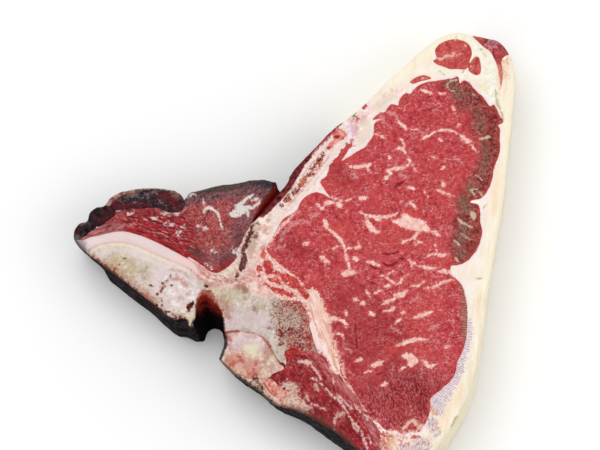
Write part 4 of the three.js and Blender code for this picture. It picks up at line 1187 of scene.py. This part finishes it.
back_field = claim([
    (280, 358), (285, 352), (294, 344), (310, 344), (318, 350), (328, 360), (332, 371), (340, 375),
    (346, 383), (354.5, 393), (362.5, 406), (370.5, 419), (376, 425), (379, 433), (381, 441), (386, 456),
    (392, 469), (393, 492), (330, 462), (280, 426), (270, 404), (262, 384), (272, 372)], ragged=0.25)
back_marks = drawn(
    sinew=[(2.2, (320, 383), (331, 394), (341, 403), (349, 415)), (2.4, (349, 415), (353, 422), (361, 431)),
        (2.4, (361, 431), (364, 440), (367, 450)), (2.0, (337, 394), (347, 404), (353, 410)),
        (2.0, (336, 416), (334, 422), (334, 430)), (2.0, (310, 364), (317, 372), (321, 379)),
        (4.0, (299, 362), (306, 362), (311, 365)), (1.8, (312, 404), (325, 410)), (2.0, (354, 404),
        (360, 412)), (2.4, (364, 414), (368, 420)), (1.8, (311, 378), (318, 381)), (1.6, (352, 425),
        (358, 432)), (1.5, (368, 436), (371, 444)), (1.6, (333, 378), (334, 384)), (1.6, (380, 442),
        (388, 462)), (1.6, (368, 450), (378, 466))],
    fat=[[(281, 386), (288, 381), (297, 385), (298, 396), (304, 403), (312, 409), (306, 414), (296, 411),
        (286, 408), (276, 402), (272, 396), (282, 396), (289, 394)]],
    pale=[(4, (304, 362), (311, 363)), (4, (338, 415), (344, 413)), (3, (314, 384), (318, 390)),
        (3, (306, 394), (308, 400)), (4, (300, 402), (306, 406))],
    dark=[(14, (318, 412), (330, 422)), (16, (342, 425), (356, 440)), (14, (300, 374), (312, 382)),
        (12, (322, 400), (334, 408)), (8, (282, 376), (286, 392)), (14, (366, 456), (380, 468))],
    blood=[(4, (283, 372), (283, 385), (288, 392)), (3, (318, 411), (324, 420)), (3, (346, 416),
        (349, 419)), (4, (296, 356), (306, 358))],
    dull_edge=[(8, (290, 408), (308, 414), (330, 428), (350, 442))],
    bright=[(7, (284, 356), (288, 351), (296, 349), (305, 352)), (5, (279, 364), (282, 369))],
    pink_band=[(11, (318, 354), (330, 370), (345, 388), (356, 402), (366, 416)), (9, (362, 412), (373, 430),
        (380, 446), (390, 466)), (6, (300, 349), (316, 356))])
paint = Paint("small_back_meat")
colour, bumps = lean(paint, (108, 4, 14), (167, 31, 41), (214, 128, 126), 1.0, turn=-50, size=1.0)
fibre = paint.noise((4.6, 0.75, 3.0), 5, 0.72, shift=5, turn=-50, bend=0.5)
hairs = paint.noise((3.4, 0.55, 2.4), 5, 0.75, shift=27, turn=-52, bend=0.7)
colour = paint.layers(colour, [
    (fibre, 0.53, 0.63, (206, 104, 106), 0.6),
    (hairs, 0.56, 0.66, (226, 156, 154), 0.6),
    ("pink_band", (hairs, 0.42, 0.58, (152, 24, 36), (218, 148, 148)), 1.8, 3.6, 0.7),
    (fibre, 0.45, 0.34, (86, 6, 12), 0.7),
    ("dark", (112, 6, 18), 2.4, 2.6, 0.3),
    ("blood", (96, 8, 14), 0.6, 1.4, 0.8),
    ("bright", (paint.noise(1.0, 4, 0.75, shift=26), 0.42, 0.62, (140, 8, 10), (220, 84, 66)), 0.9, 3.0,
        0.85),
    ("fat", (paint.noise(1.1, 4, 0.7, shift=8), 0.36, 0.62, (188, 138, 122), (228, 206, 190)), 0.8, 4.0,
        0.85),
    ("pale", (222, 182, 166), 0.6, 1.4, 0.75),
    ("sinew", (228, 184, 180), 0.32, 1.2, 0.85),
    ("dull_edge", (112, 56, 46), 0.8, 2.4, 0.6),
    (paint.mark("rim"), 0.9, 0.2, (60, 40, 34), 0.8)])
colour = paint.walled(colour)
back_muscle = column(
    "small_back_muscle", back_field, paint.finish(colour, 0.42, bumps * 1.5, gloss=0.12),
    back_marks, 0.1)


# Black end
# The thin end of the tenderloin side, dried by weeks of ageing to a black, craggy crust. It is
# hard and matt, with a few dark red glints where it joins the softer meat.

end_field = claim([
    (62, 246), (70, 243), (79, 240.5), (86, 234), (94, 228.5), (103, 223), (110, 219), (115, 214),
    (115, 209), (107, 205.5), (104, 196), (84, 200), (62, 216)], ragged=0.4)
end_marks = drawn(
    red=[(6, (104, 212), (110, 218)), (5, (98, 221), (105, 221)), (3, (78, 225), (78, 233)), (4, (94, 216),
        (98, 219)), (5, (108, 208), (113, 212))],
    grey=[(6, (72, 238), (80, 239)), (3, (80, 223), (86, 222))])
paint = Paint("black_crust")
crag = paint.noise(2.2, 4, 0.65)
crust = paint.tones(crag, 0.36, 0.7, (10, 7, 10), (64, 48, 50))
crust = paint.layers(crust, [
    (paint.noise(0.9, 3, 0.7, shift=3), 0.58, 0.7, (122, 106, 104), 0.6),
    ("red", (86, 18, 26), 0.8, 2.4, 0.5),
    ("grey", (110, 100, 98), 1.0, 1.6, 0.7)])
crust = paint.walled(crust)
black_end = column(
    "black_end", end_field, paint.finish(crust, 0.58, crag * 0.8), end_marks, 0.3)


# Dark strap
# The side strap that lies along the tenderloin: a flat muscle dried almost black, with a pale
# cream-green rind of old fat round its outside and a pink tip at its left end.

strap_field = claim([
    (104, 206), (108, 207), (113, 209.5), (120, 210), (128, 209), (142, 208), (156, 207.5), (166, 211),
    (176, 212.5), (182, 210), (185, 204), (184.5, 199), (184, 180), (120, 178), (98, 196)], ragged=0.3)
strap_marks = drawn(
    old_fat=[(3.4, (120, 192), (138, 188.5), (150, 186.5), (163, 187.5), (176, 192))],
    brown_rim=[(5, (117, 195), (126, 191.5), (137, 190)), (4, (172, 193), (180, 197))],
    pink=[(6, (106, 205), (110, 201)), (3, (114, 198), (118, 195))],
    red=[(6, (114, 201), (116, 207)), (9, (172, 200), (178, 208)), (8, (160, 196), (168, 194)),
        (4, (126, 204), (140, 205), (152, 205)), (4, (120, 207), (130, 206))],
    slate=[(7, (128, 199), (142, 197), (156, 199)), (5, (150, 204), (160, 204)), (4, (120, 201),
        (124, 199))],
    glint=[(2.2, (130, 196), (137, 194)), (2.2, (145, 193), (150, 195)), (2, (152, 191), (157, 193)),
        (1.8, (140, 198), (145, 197)), (1.8, (159, 201), (163, 203)), (1.6, (133, 202), (137, 203)),
        (1.8, (147, 196), (149, 198)), (1.5, (125, 197), (128, 196))])
paint = Paint("dried_strap")
crag = paint.noise((2.2, 1.2, 2.0), 5, 0.74, turn=6)
crust = paint.tones(crag, 0.36, 0.66, (20, 10, 14), (94, 62, 68))
crust = paint.layers(crust, [
    ("slate", (34, 30, 36), 0.8, 2.0, 0.75),
    ("red", (102, 24, 34), 0.9, 2.0, 0.7),
    (paint.noise(0.85, 4, 0.75, shift=3), 0.56, 0.68, (146, 128, 128), 0.7),
    (paint.noise(0.95, 4, 0.75, shift=13), 0.46, 0.32, (14, 6, 9), 0.8),
    ("glint", (142, 128, 128), 0.4, 1.6, 0.5),
    ("brown_rim", (138, 88, 76), 0.7, 2.0, 0.85),
    ("old_fat", (crag, 0.42, 0.6, (96, 80, 66), (188, 176, 146)), 0.5, 1.8, 0.9),
    ("pink", (196, 142, 128), 0.7, 2.0, 0.8)])
crust = paint.walled(crust)
dark_strap = column(
    "dark_strap", strap_field, paint.finish(crust, 0.5, crag * 0.8), strap_marks, 0.28)


# Crook tissue
# The pale sinew and fat in the crook of the T, between the tenderloin and the bone, with a thin
# dark strip of meat in it and pink layers that follow the bone.

crook_field = claim([
    (253, 221.5), (249, 228), (245, 235), (241.5, 243), (237, 250), (237.5, 255), (235, 260), (230, 265),
    (225, 269), (219, 272.5), (213, 272.5), (206, 268.5), (200, 264), (194, 260), (188, 257),
    (192, 272), (204, 286), (240, 285), (254, 262), (253, 240), (262, 214)], ragged=0.15)
crook_marks = drawn(
    pale_lines=[(1.6, (251, 222), (246, 230)), (2.4, (237.5, 251), (239.5, 256), (238.5, 264)),
        (1.4, (247, 262), (246, 270))],
    pink=[(6, (196, 263), (204, 271), (214, 277)), (4, (243, 272), (250, 276)), (7, (196, 272),
        (200, 282))],
    cream=[(8, (220, 275), (230, 270), (235, 262))],
    layers=[(1.2, (194, 265), (204, 274), (216, 280), (232, 281), (246, 276)), (1.2, (200, 266), (210, 274),
        (222, 277)), (1.0, (190, 262), (196, 270), (200, 279))])
crook_marks.update(dark_strip)
paint = Paint("crook_sinew")
folds = paint.noise((3.6, 1.1, 3), 4, 0.7, turn=-38)
colour = paint.tones(folds, 0.38, 0.6, (184, 128, 116), (238, 216, 206))
colour = paint.layers(colour, [
    ("cream", (219, 204, 182), 1.2, 1.6, 0.6),
    ("pink", (218, 148, 144), 1.4, 2.0, 0.65),
    ("layers", (182, 98, 94), 0.4, 0.8, 0.65),
    ("dark_strip", (paint.noise(0.85, 4, 0.75, shift=5), 0.42, 0.62, (58, 14, 20), (140, 74, 72)), 0.5,
        1.2),
    ("pale_lines", (206, 190, 184), 0.3, 0.5, 0.8)])
crook = column(
    "crook_tissue", crook_field,
    paint.finish(colour, 0.45, folds * 0.3, gloss=0.15),
    crook_marks, 0.06)


# Tenderloin
# The small muscle on the other side of the T. Dry ageing turned it from dark red beside the bone,
# where its fibres run along the cut, to purple-brown at its upper edge, with cream flecks and a
# white curl of fat.

tender_field = claim([
    (80, 240), (92, 229), (104, 222), (110, 206), (150, 200), (184, 190), (230, 172), (276, 168),
    (292, 178), (280, 196), (262, 218), (250, 232), (240, 256), (228, 270), (214, 276),
    (198, 268), (165, 250), (120, 236), (98, 240)])
tender_marks = drawn(
    upper=[[(180, 160), (182, 204), (192, 206), (204, 203), (216, 200), (230, 198), (246, 196), (262, 199),
        (280, 205), (300, 170), (250, 150)]],
    upper_rim=[(7, (186, 196), (198, 191), (215, 188.5), (232, 186), (250, 182.5), (262, 181))],
    blue_end=[(11, (258, 182), (270, 182), (278, 184))],
    fibres=[[(100, 236), (112, 222), (124, 212), (146, 210), (168, 214), (186, 214), (194, 226), (196, 240),
        (204, 256), (216, 268), (210, 276), (180, 258), (150, 242), (124, 234)]],
    red_edge=[(8, (126, 230), (146, 235), (166, 245), (186, 256), (202, 265), (215, 271.5)), (5, (215, 271),
        (224, 267), (232, 260))],
    pink_flat=[(13, (84, 236), (98, 230), (112, 226)), (8, (108, 226), (122, 226)), (4, (96, 235),
        (108, 232), (122, 231))],
    purple=[(22, (243, 204), (242, 222), (236, 238)), (14, (236, 244), (226, 256), (212, 258)),
        (10, (196, 254), (206, 260))],
    brown=[(10, (190, 250), (200, 256)), (9, (232, 256), (222, 264)), (6, (240, 232), (238, 246))],
    white=[(3.6, (204, 212), (206, 208.5), (211, 208), (215, 211)), (2.6, (214, 210), (218.5, 215),
        (220.5, 222)), (1.8, (220, 221), (222, 229)), (5, (232, 214), (238, 211)), (3.6, (236, 206),
        (243, 202), (247, 198)), (2.4, (246, 199), (253, 194)), (4, (241, 212), (247, 207), (253, 208)),
        (3, (247, 208), (248, 216)), (2.4, (252, 208), (258, 203), (260, 200)), (2.2, (252, 200),
        (258, 198)), [(229, 214), (235, 209), (238, 204), (244, 206), (246, 211), (240, 216), (233, 217)]],
    cream=[(3.6, (117, 210), (120, 209)), (3.2, (163, 212), (168, 214)), (3, (173, 212), (178, 213)),
        (3.2, (165, 224), (172, 225)), (2.4, (180, 228), (184, 227)), (3, (177, 233), (180, 235)),
        (2.2, (204, 228), (207, 229)), (2, (197, 226), (200, 226)), (2, (128, 214), (132, 213)),
        (1.6, (152, 218), (158, 219)), (2, (236, 251), (238, 254)), (2.6, (211, 251), (215, 252)),
        (2.4, (206, 265), (210, 266), (213, 269)), (4, (233, 250), (236, 252)), (2.4, (188, 196),
        (194, 192)), (5, (186, 193), (191, 191)), (1.6, (203, 200), (204, 204))],
    crack_side=[(8, (280, 174), (272, 189), (264, 200), (258, 211), (252, 223))])
paint = Paint("tenderloin_meat")
colour, bumps = lean(paint, (124, 20, 30), (176, 76, 74), (216, 172, 162), 1.0, size=0.8)
lace = paint.noise(0.85, 4, 0.78, shift=21)
ripple = paint.noise((5.0, 0.8, 3.0), 4, 0.7, shift=17, turn=-16, bend=0.6)
streak = paint.tones(ripple, 0.38, 0.62, (80, 2, 12), (174, 44, 52))
hairs = paint.noise((2.4, 0.7, 2.0), 4, 0.7, shift=18, turn=-22, bend=0.5)
colour = paint.layers(colour, [
    (lace, 0.54, 0.66, (200, 168, 156), 0.6)])
fibre_edge = paint.mark("fibres") + paint.noise(4.0, 3, shift=19).swing(12)
streak = paint.layers(streak, [
    (hairs, 0.54, 0.64, (216, 152, 146), 0.8),
    (hairs, 0.44, 0.34, (78, 4, 12), 0.6)])
upper_edge = paint.mark("upper") + paint.noise(3.0, 4, 0.66, shift=23).swing(14)
worn = paint.tones(lace, 0.34, 0.5, (190, 152, 144), (228, 220, 216))
crust = paint.skin()
crack_wall = paint.mix(paint.noise((3, 3, 8), 3), (120, 8, 8), (210, 52, 44))
colour = paint.layers(colour, [
    (fibre_edge, 1.6, -1.6, streak),
    ("pink_flat", (paint.noise((5, 1.0, 3), 4, 0.7, turn=18), 0.36, 0.64, (116, 30, 40), (196, 128, 128)),
        1.6, 1.6, 0.8),
    ("purple", (paint.noise(1.0, 4, 0.75, shift=20), 0.38, 0.64, (62, 16, 26), (156, 110, 116)), 2.6, 4.0,
        0.7),
    ("brown", (78, 34, 30), 1.6, 2.0, 0.6),
    ("red_edge", (ripple, 0.36, 0.62, (96, 2, 16), (186, 38, 46)), 1.2, 1.6, 0.75),
    (upper_edge, 1.6, -1.8, (paint.noise(1.25, 5, 0.75, shift=22), 0.36, 0.66, (44, 18, 26),
        (146, 102, 106)), 0.92),
    ("upper_rim", (paint.noise(1.3, 4, 0.75, shift=24), 0.36, 0.64, (18, 10, 12), (96, 80, 66)), 0.9, 1.8,
        0.85),
    ("blue_end", (lace, 0.42, 0.64, (6, 10, 16), (66, 66, 76)), 1.2, 1.6, 0.95),
    ("white", worn, 0.45, 0.7, 0.95),
    ("cream", worn, 0.4, 2.2, 0.75),
    (paint.mark("rim"), 0.8, 0.2, (48, 26, 26), 0.6)])
crust = paint.layers(crust, [
    (paint.mark("crack_side"), 0.6, -0.6, crack_wall)])
colour = paint.layers(colour, [
    (paint.mark("wall"), 0.3, 0.6, crust)])
tenderloin = column(
    "tenderloin", tender_field, paint.finish(colour, 0.45, bumps * 1.4 + lace * 0.2, gloss=0.15),
    tender_marks, 0.12)


# Tail muscles
# Three small red muscle cuts in the fat of the tail: a round one with a fat streak, a three-sided
# one beside it, and a sliver on the upper edge of the strip loin.

paint = Paint("tail_meat")
colour, bumps = lean(paint, (166, 42, 42), (204, 84, 78), (226, 148, 138), 0.7, turn=20)
edge = paint.mark("edge") + paint.noise(1.6, 2, shift=13).swing(1.2)
colour = paint.layers(colour, [
    (edge, 0.9, 0.1, (196, 100, 78), 0.5),
    ("fat", (228, 176, 160), 0.3, 0.8, 0.9)])
tail_paint = paint.finish(colour, 0.4, bumps, gloss=0.2)
tail_fat = drawn(
    fat=[(2.6, (436, 58.5), (442, 59), (446, 56), (452, 56)), (3, (451, 57), (454, 53)), (1.4, (456, 56),
        (460, 54)), (2, (464, 44), (467, 46)), (1.6, (471, 66), (473, 66.5)), (1.4, (445, 46), (447, 47)),
        (3, (455, 39), (457, 36)), (1.6, (421, 79), (424, 78))])
TAIL_CUTS = {
    "tail_muscle": [
        (433, 60.5), (436, 58), (434.6, 50), (437, 45), (441.6, 42), (448, 39.6), (456, 38.2), (460.4, 39.6),
        (465, 41), (469.3, 44.5), (471.6, 49.5), (472, 54), (470.2, 60), (469, 65), (465, 69.6),
        (457.7, 69), (450, 69), (442.5, 66.4), (437, 64.5)],
    "tail_tip_muscle": [
        (468.5, 70), (470, 63.8), (472.5, 59), (475.5, 56.6), (478.4, 57), (480, 61), (481, 67.5),
        (480.4, 73), (478.2, 75.3), (473.8, 74.3), (470, 72)],
    "tail_sliver": [
        (410, 82), (414, 78), (419, 75.5), (425.5, 75.2), (431.3, 78.3), (426.4, 80), (418.4, 82),
        (413, 83.6)],
}
for node, outline in TAIL_CUTS.items():
    cut = column(node, claim(outline, ragged=0.15), tail_paint, tail_fat, 0.07, shows_at_side=False)


# Edge muscle
# A thin muscle on the outer edge of the tail, open to the air and dried dark red and purple. It
# narrows to a thread along the fat cap.

edge_field = claim([
    (472, 34), (477, 40), (483, 46), (490, 51), (494, 58), (497.5, 66), (499.5, 76), (501, 87),
    (503, 76), (502.5, 68), (502, 60), (505.5, 56), (509, 54), (512, 44), (496, 28), (474, 26)], ragged=0.2)
edge_marks = drawn(
    purple=[(7, (484, 40), (496, 42)), (5, (499, 44), (502, 48)), (4, (492, 55), (496, 62))],
    lilac=[(4, (490, 47), (496, 46)), (2, (493, 43), (496, 44))],
    bright=[(5, (476, 37), (480, 42)), (5, (497, 52), (502, 54)), (3, (498, 60), (500, 68))],
    thread=[(4, (500, 66), (501, 78), (500.5, 90))],
    skin_edge=[(7, (466, 30), (475, 39)), (8, (506, 51), (514, 62))])
paint = Paint("edge_meat")
colour, bumps = lean(paint, (132, 18, 26), (200, 78, 74), (226, 156, 154), 1.0)
clots = paint.noise((4, 4, 3), 5, 0.72, shift=9)
side = paint.tones(clots, 0.38, 0.62, (84, 18, 28), (164, 76, 70))
colour = paint.layers(colour, [
    ("purple", (112, 22, 46), 0.9, 4.0, 0.7),
    (clots, 0.53, 0.62, (214, 156, 160), 0.6),
    ("lilac", (186, 144, 162), 0.7, 3.6, 0.7),
    ("bright", (192, 64, 56), 0.8, 1.6, 0.7),
    ("thread", (214, 136, 118), 0.7, 1.8, 0.8)])
side = paint.layers(side, [
    (paint.noise((1.6, 1.6, 5), 4, 0.7, shift=3), 0.56, 0.68, (214, 168, 150), 0.7),
    (paint.mark("skin_edge") + clots.swing(9), 0.8, -0.8, (238, 216, 184))])
colour = paint.layers(colour, [
    (paint.mark("wall"), 0.3, 0.7, side)])
edge_muscle = column(
    "edge_muscle", edge_field, paint.finish(colour, 0.42, bumps, gloss=0.2), edge_marks, 0.1)


# Fat cap
# The firm layer of fat round the strip loin, with the tail fat above and the fat of the lower end
# below, in one piece. It is cream, whiter beside the meat and yellow at the skin side, lilac and
# ribbed where the saw dragged it beside the lower meat.

fat_marks = drawn(
    lilac=[[(469, 318), (472.5, 326), (472.5, 338), (469.5, 352), (466.5, 364), (462.5, 374), (457, 386),
        (450.5, 398), (445.5, 406), (444.5, 413), (439.5, 416), (434, 412), (428, 404), (432, 392),
        (448, 378), (458, 356), (464, 330)]],
    lilac_low=[[(414, 441), (421, 438), (430, 440), (432, 446), (428, 453), (416, 456), (411, 449)],
        [(427, 418), (433, 416), (438, 421), (437, 427), (442, 430), (440, 436), (434, 438), (431, 432),
        (426, 426)], [(399, 446), (405, 443), (410, 448), (407, 457), (398, 457)]],
    pink_side=[[(340, 112), (352, 114), (364, 104), (380, 92), (402, 84), (412, 84), (404, 92), (394, 100),
        (384, 106), (374, 112), (368, 126), (362, 144), (350, 152), (345, 146), (350, 134)]],
    lilac_pocket=[(12, (342, 126), (350, 130), (352, 138)), (4, (361, 112), (368, 105)), (5, (341, 159),
        (348, 154), (354, 148))],
    pink_pocket=[(7, (355, 124), (355, 132)), (5, (351, 120), (354, 119)), (7, (364, 116), (363, 122))],
    beige_pocket=[(15, (366, 122), (367, 132), (360, 142)), (10, (376, 108), (392, 96))],
    meat_patches=[(5, (382, 431), (390, 437)), (3, (398, 436), (406, 438)), (2.6, (412, 435), (420, 437)),
        (5, (374, 424), (379, 436)), (3, (382, 440), (385, 450)), (3, (400, 446), (408, 444))],
    pink_join=[(8, (374, 422), (380, 436), (386, 450), (392, 466))],
    blood_spots=[(4.5, (362.5, 107), (365, 104.5)), (3, (356.5, 116), (357, 120)), (5, (346.5, 144.5),
        (351, 145.5)), (6, (345, 149), (340, 157)), (6, (334, 164), (338, 160)), (1.8, (351, 142),
        (352, 139.5), (355.5, 138.5)), (3.4, (309, 306), (311, 314)), (2.4, (307, 302))],
    mould_spots=[(3, (352, 115.5), (356, 112.5)), (2, (353, 118), (354, 119))],
    green_fat=[[(458, 32), (474, 36), (482, 50), (492, 58), (497, 72), (499, 90), (500, 108), (490, 104),
        (480, 92), (470, 80), (450, 74), (430, 72), (428, 68), (444, 70), (466, 72), (484, 78), (482, 60),
        (474, 52), (470, 42), (462, 36)]],
    olive=[(2.6, (495.5, 90), (497.5, 102), (501.5, 112), (504, 120)), (1.4, (482, 210), (488, 203)),
        (2.8, (458, 416), (454.6, 422.5), (451, 429)), (1.8, (476, 278), (482, 279)), (1.4, (440, 71),
        (445, 76)), (2, (462, 73), (464, 71)), (1.2, (483, 53), (487, 57)), (2, (480, 49), (482, 50)),
        (1.6, (455, 39), (457, 34))],
    orange=[(6, (505, 56), (507, 62)), (4, (503, 54), (506, 58)), (3, (502, 66), (503, 78)), (5, (431, 408),
        (436, 414)), (3, (436, 424), (438, 428)), (4, (393, 434), (392, 444)), (3, (388, 436), (390, 450))],
    peach=[(7, (500, 160), (497, 190), (494, 215)), (6, (478, 318), (480, 300)), (9, (456, 404),
        (462, 388)), (8, (470, 84), (486, 88)), (6, (497, 60), (502, 80)), (9, (452, 404), (446, 416),
        (442, 428)), (7, (447, 408), (440, 424))],
    # White spots; the one beside the beige pocket is a painted highlight.
    white_spots=[(2.6, (361, 128.5)), (3.4, (506, 57), (504, 58)), (3.2, (470, 203), (478, 202))],
    yellow_low=[[(474, 300), (490, 280), (484, 340), (474, 380), (458, 416), (440, 444), (420, 470),
        (408, 470), (420, 452), (440, 430), (452, 412), (464, 388), (470, 366), (475, 340)]],
    pink_low=[[(384, 432), (396, 434), (404, 438), (420, 436), (432, 440), (424, 456), (410, 470),
        (396, 474), (388, 458), (380, 436)]],
    meat_edge=[(4, (466, 28), (473, 36)), (4, (508, 52), (515, 62))],
    tail_fringe=[(9, (506, 54), (508, 64)), (8, (503, 66), (505, 76)), (5, (502, 76), (503, 92))],
    finger_side=[[(255, 224), (268, 212), (288, 196), (306, 186), (322, 172), (336, 154), (346, 142),
        (350, 150), (340, 160), (330, 172), (322, 183), (331, 200), (318, 193), (305, 200), (296, 212),
        (280, 222), (266, 246), (258, 244)]])
fat_marks["lean_gap"] = area(smooth(strip_outline))
fat_marks["hatch_along"] = along([(474, 318), (474, 334), (470, 354), (463, 374), (452, 394), (438, 408),
    (424, 414)])
paint = Paint("cap_fat")
cloud = paint.noise(7.0, 4, 0.6, shift=2)
mottle = paint.noise(1.7, 4, 0.7, shift=5)
streaks = paint.noise((1.5, 13, 9), 4, 0.66, shift=6, turn=-7)
colour = paint.tones(cloud, 0.36, 0.64, (240, 224, 208), (246, 236, 223))
outer = paint.rise(paint.mark("rim") + cloud.swing(6), 7.0, 1.5)
colour = paint.mix(outer * 0.6, colour, (245, 237, 208))
pink = paint.tones(mottle, 0.36, 0.62, (226, 190, 178), (250, 234, 224))
beige = paint.mix(cloud, (214, 196, 184), (238, 216, 200))
beside = paint.mark("lean_gap") + paint.noise(2.2, 3, shift=3).swing(5)
pink_rim = paint.mark("lean_gap") + paint.ragged_edge.swing(3.0)
stripe = saw_lines(paint, 1.05, 2.6, 9, 8)
ruffle = paint.noise((0.8, 1.7, 2.0), 4, 0.7, shift=7, turn=-18, bend=0.8)
fold = paint.noise((6, 2.2, 5), 3, 0.5, shift=4, turn=75)
colour = paint.layers(colour, [
    (streaks, 0.48, 0.34, (236, 214, 186), 0.5),
    (streaks, 0.56, 0.7, (252, 249, 240), 0.5),
    ("green_fat", (mottle, 0.36, 0.62, (226, 222, 202), (247, 246, 234)), 2.0, 2.4, 0.85),
    ("pink_side", pink, 2.0, 2.4, 0.8),
    ("finger_side", pink, 0.8, 1.2, 0.85),
    ("lilac_pocket", (mottle, 0.38, 0.6, (212, 176, 192), (240, 222, 236)), 1.6, 1.6, 0.85),
    ("pink_pocket", (208, 148, 156), 1.2, 1.8, 0.75),
    ("beige_pocket", beige, 1.8, 1.6, 0.8),
    ("yellow_low", (streaks, 0.36, 0.62, (229, 213, 184), (247, 240, 222)), 1.8, 1.6, 0.75),
    ("pink_low", (mottle, 0.36, 0.62, (222, 178, 156), (244, 218, 202)), 1.4, 2.4, 0.85),
    ("pink_join", (212, 146, 134), 1.0, 3.0, 0.8),
    ("meat_patches", (mottle, 0.36, 0.62, (160, 32, 36), (206, 92, 84)), 0.6, 4.0, 0.95),
    ("peach", (244, 208, 172), 1.8, 2.0, 0.5),
    (beside, 1.9, 0.5, (240, 224, 228), 0.7),
    (pink_rim, 0.5, -0.1, (222, 152, 142), 0.6),
    ("lilac", (stripe, -1.8, 1.4, (156, 130, 142), (234, 218, 226)), 1.0, 2.6, 0.8),
    ("lilac_low", (ruffle, 0.4, 0.58, (148, 118, 126), (234, 214, 214)), 1.0, 1.6, 0.8),
    ("orange", (206, 142, 104), 1.0, 1.8, 0.7),
    ("tail_fringe", (streaks + mottle.swing(0.5), 0.42, 0.6, (214, 122, 94), (247, 220, 192)), 2.0, 2.4,
        0.6),
    ("olive", (176, 160, 96), 0.35, 0.8, 0.75),
    ("blood_spots", (180, 52, 48), 0.4, 1.2, 0.95),
    ("mould_spots", (122, 116, 98), 0.4, 1.2, 0.9),
    # white spots, the one by the beige pocket a painted highlight
    ("white_spots", (252, 246, 240), 0.4, 0.5, 0.9),
    (paint.mark("wall"), 0.2, 0.8, (paint.mark("meat_edge") + mottle.swing(9), 0.8, -0.8, paint.skin(),
        (176, 96, 86)), 0.95)])
fat_cap = column(
    "fat_cap", np.maximum(-taken, block),
    paint.finish(colour, 0.42, fold * 0.3 + paint.noise(1.2, 3) * 0.08, gloss=0.15, soft=0.1),
    fat_marks, 0.08)


# Studio
# A plain white table top, one soft lamp high on the left, a weaker one on the right and an even
# white sky. The camera looks down on the steak, leaning 12 degrees towards its lower edge.

scene = bpy.context.scene
link = scene.collection.objects.link
HALF_TABLE = 3
SENSOR_WIDTH = 36
FAR_CLIP = 10
SKY_STRENGTH = 0.68

floor_mesh = bpy.data.meshes.new("table_top")
corners = [(-1, -1), (1, -1), (1, 1), (-1, 1)]
floor_mesh.from_pydata([(x * HALF_TABLE, y * HALF_TABLE, 0) for x, y in corners], [], [(0, 1, 2, 3)])
floor = bpy.data.objects.new("table_top", floor_mesh)
link(floor)
paint = Paint("white_table")
floor_mesh.materials.append(paint.finish((252, 252, 252), 0.9, 0.0, gloss=0.0))


def soft_lamp(name, place, size, watts):
    """A square lamp of a size in metres that faces the steak."""
    lamp = bpy.data.lights.new(name, "AREA")
    lamp.size = size
    lamp.energy = watts
    holder = bpy.data.objects.new(name, lamp)
    holder.location = place
    holder.rotation_euler = (-holder.location).to_track_quat("-Z", "Y").to_euler()
    link(holder)


soft_lamp("key_lamp", (-0.6, 0.6, 1.7), 1.4, 13.0)
soft_lamp("fill_lamp", (1.2, -0.3, 1.2), 1.4, 5.6)
world = bpy.data.worlds.new("white_sky")
world.use_nodes = True
sky = world.node_tree.nodes["Background"].inputs
sky["Color"].default_value = (1, 1, 1, 1)
sky["Strength"].default_value = SKY_STRENGTH
scene.world = world
scene.view_settings.view_transform = "Standard"

camera = bpy.data.objects.new("camera", bpy.data.cameras.new("camera"))
camera.data.sensor_width = SENSOR_WIDTH
camera.data.lens = SENSOR_WIDTH * EYE_DISTANCE / (VIEW_SIZE[0] * POINT_WIDTH)
camera.data.clip_end = FAR_CLIP
camera.location = (
    -ORIGIN[0] * MM, (-EYE_DISTANCE * math.sin(EYE_LEAN) - ORIGIN[1]) * MM,
    (THICKNESS + EYE_DISTANCE * math.cos(EYE_LEAN)) * MM)
camera.rotation_euler = (EYE_LEAN, 0, 0)
link(camera)
scene.camera = camera
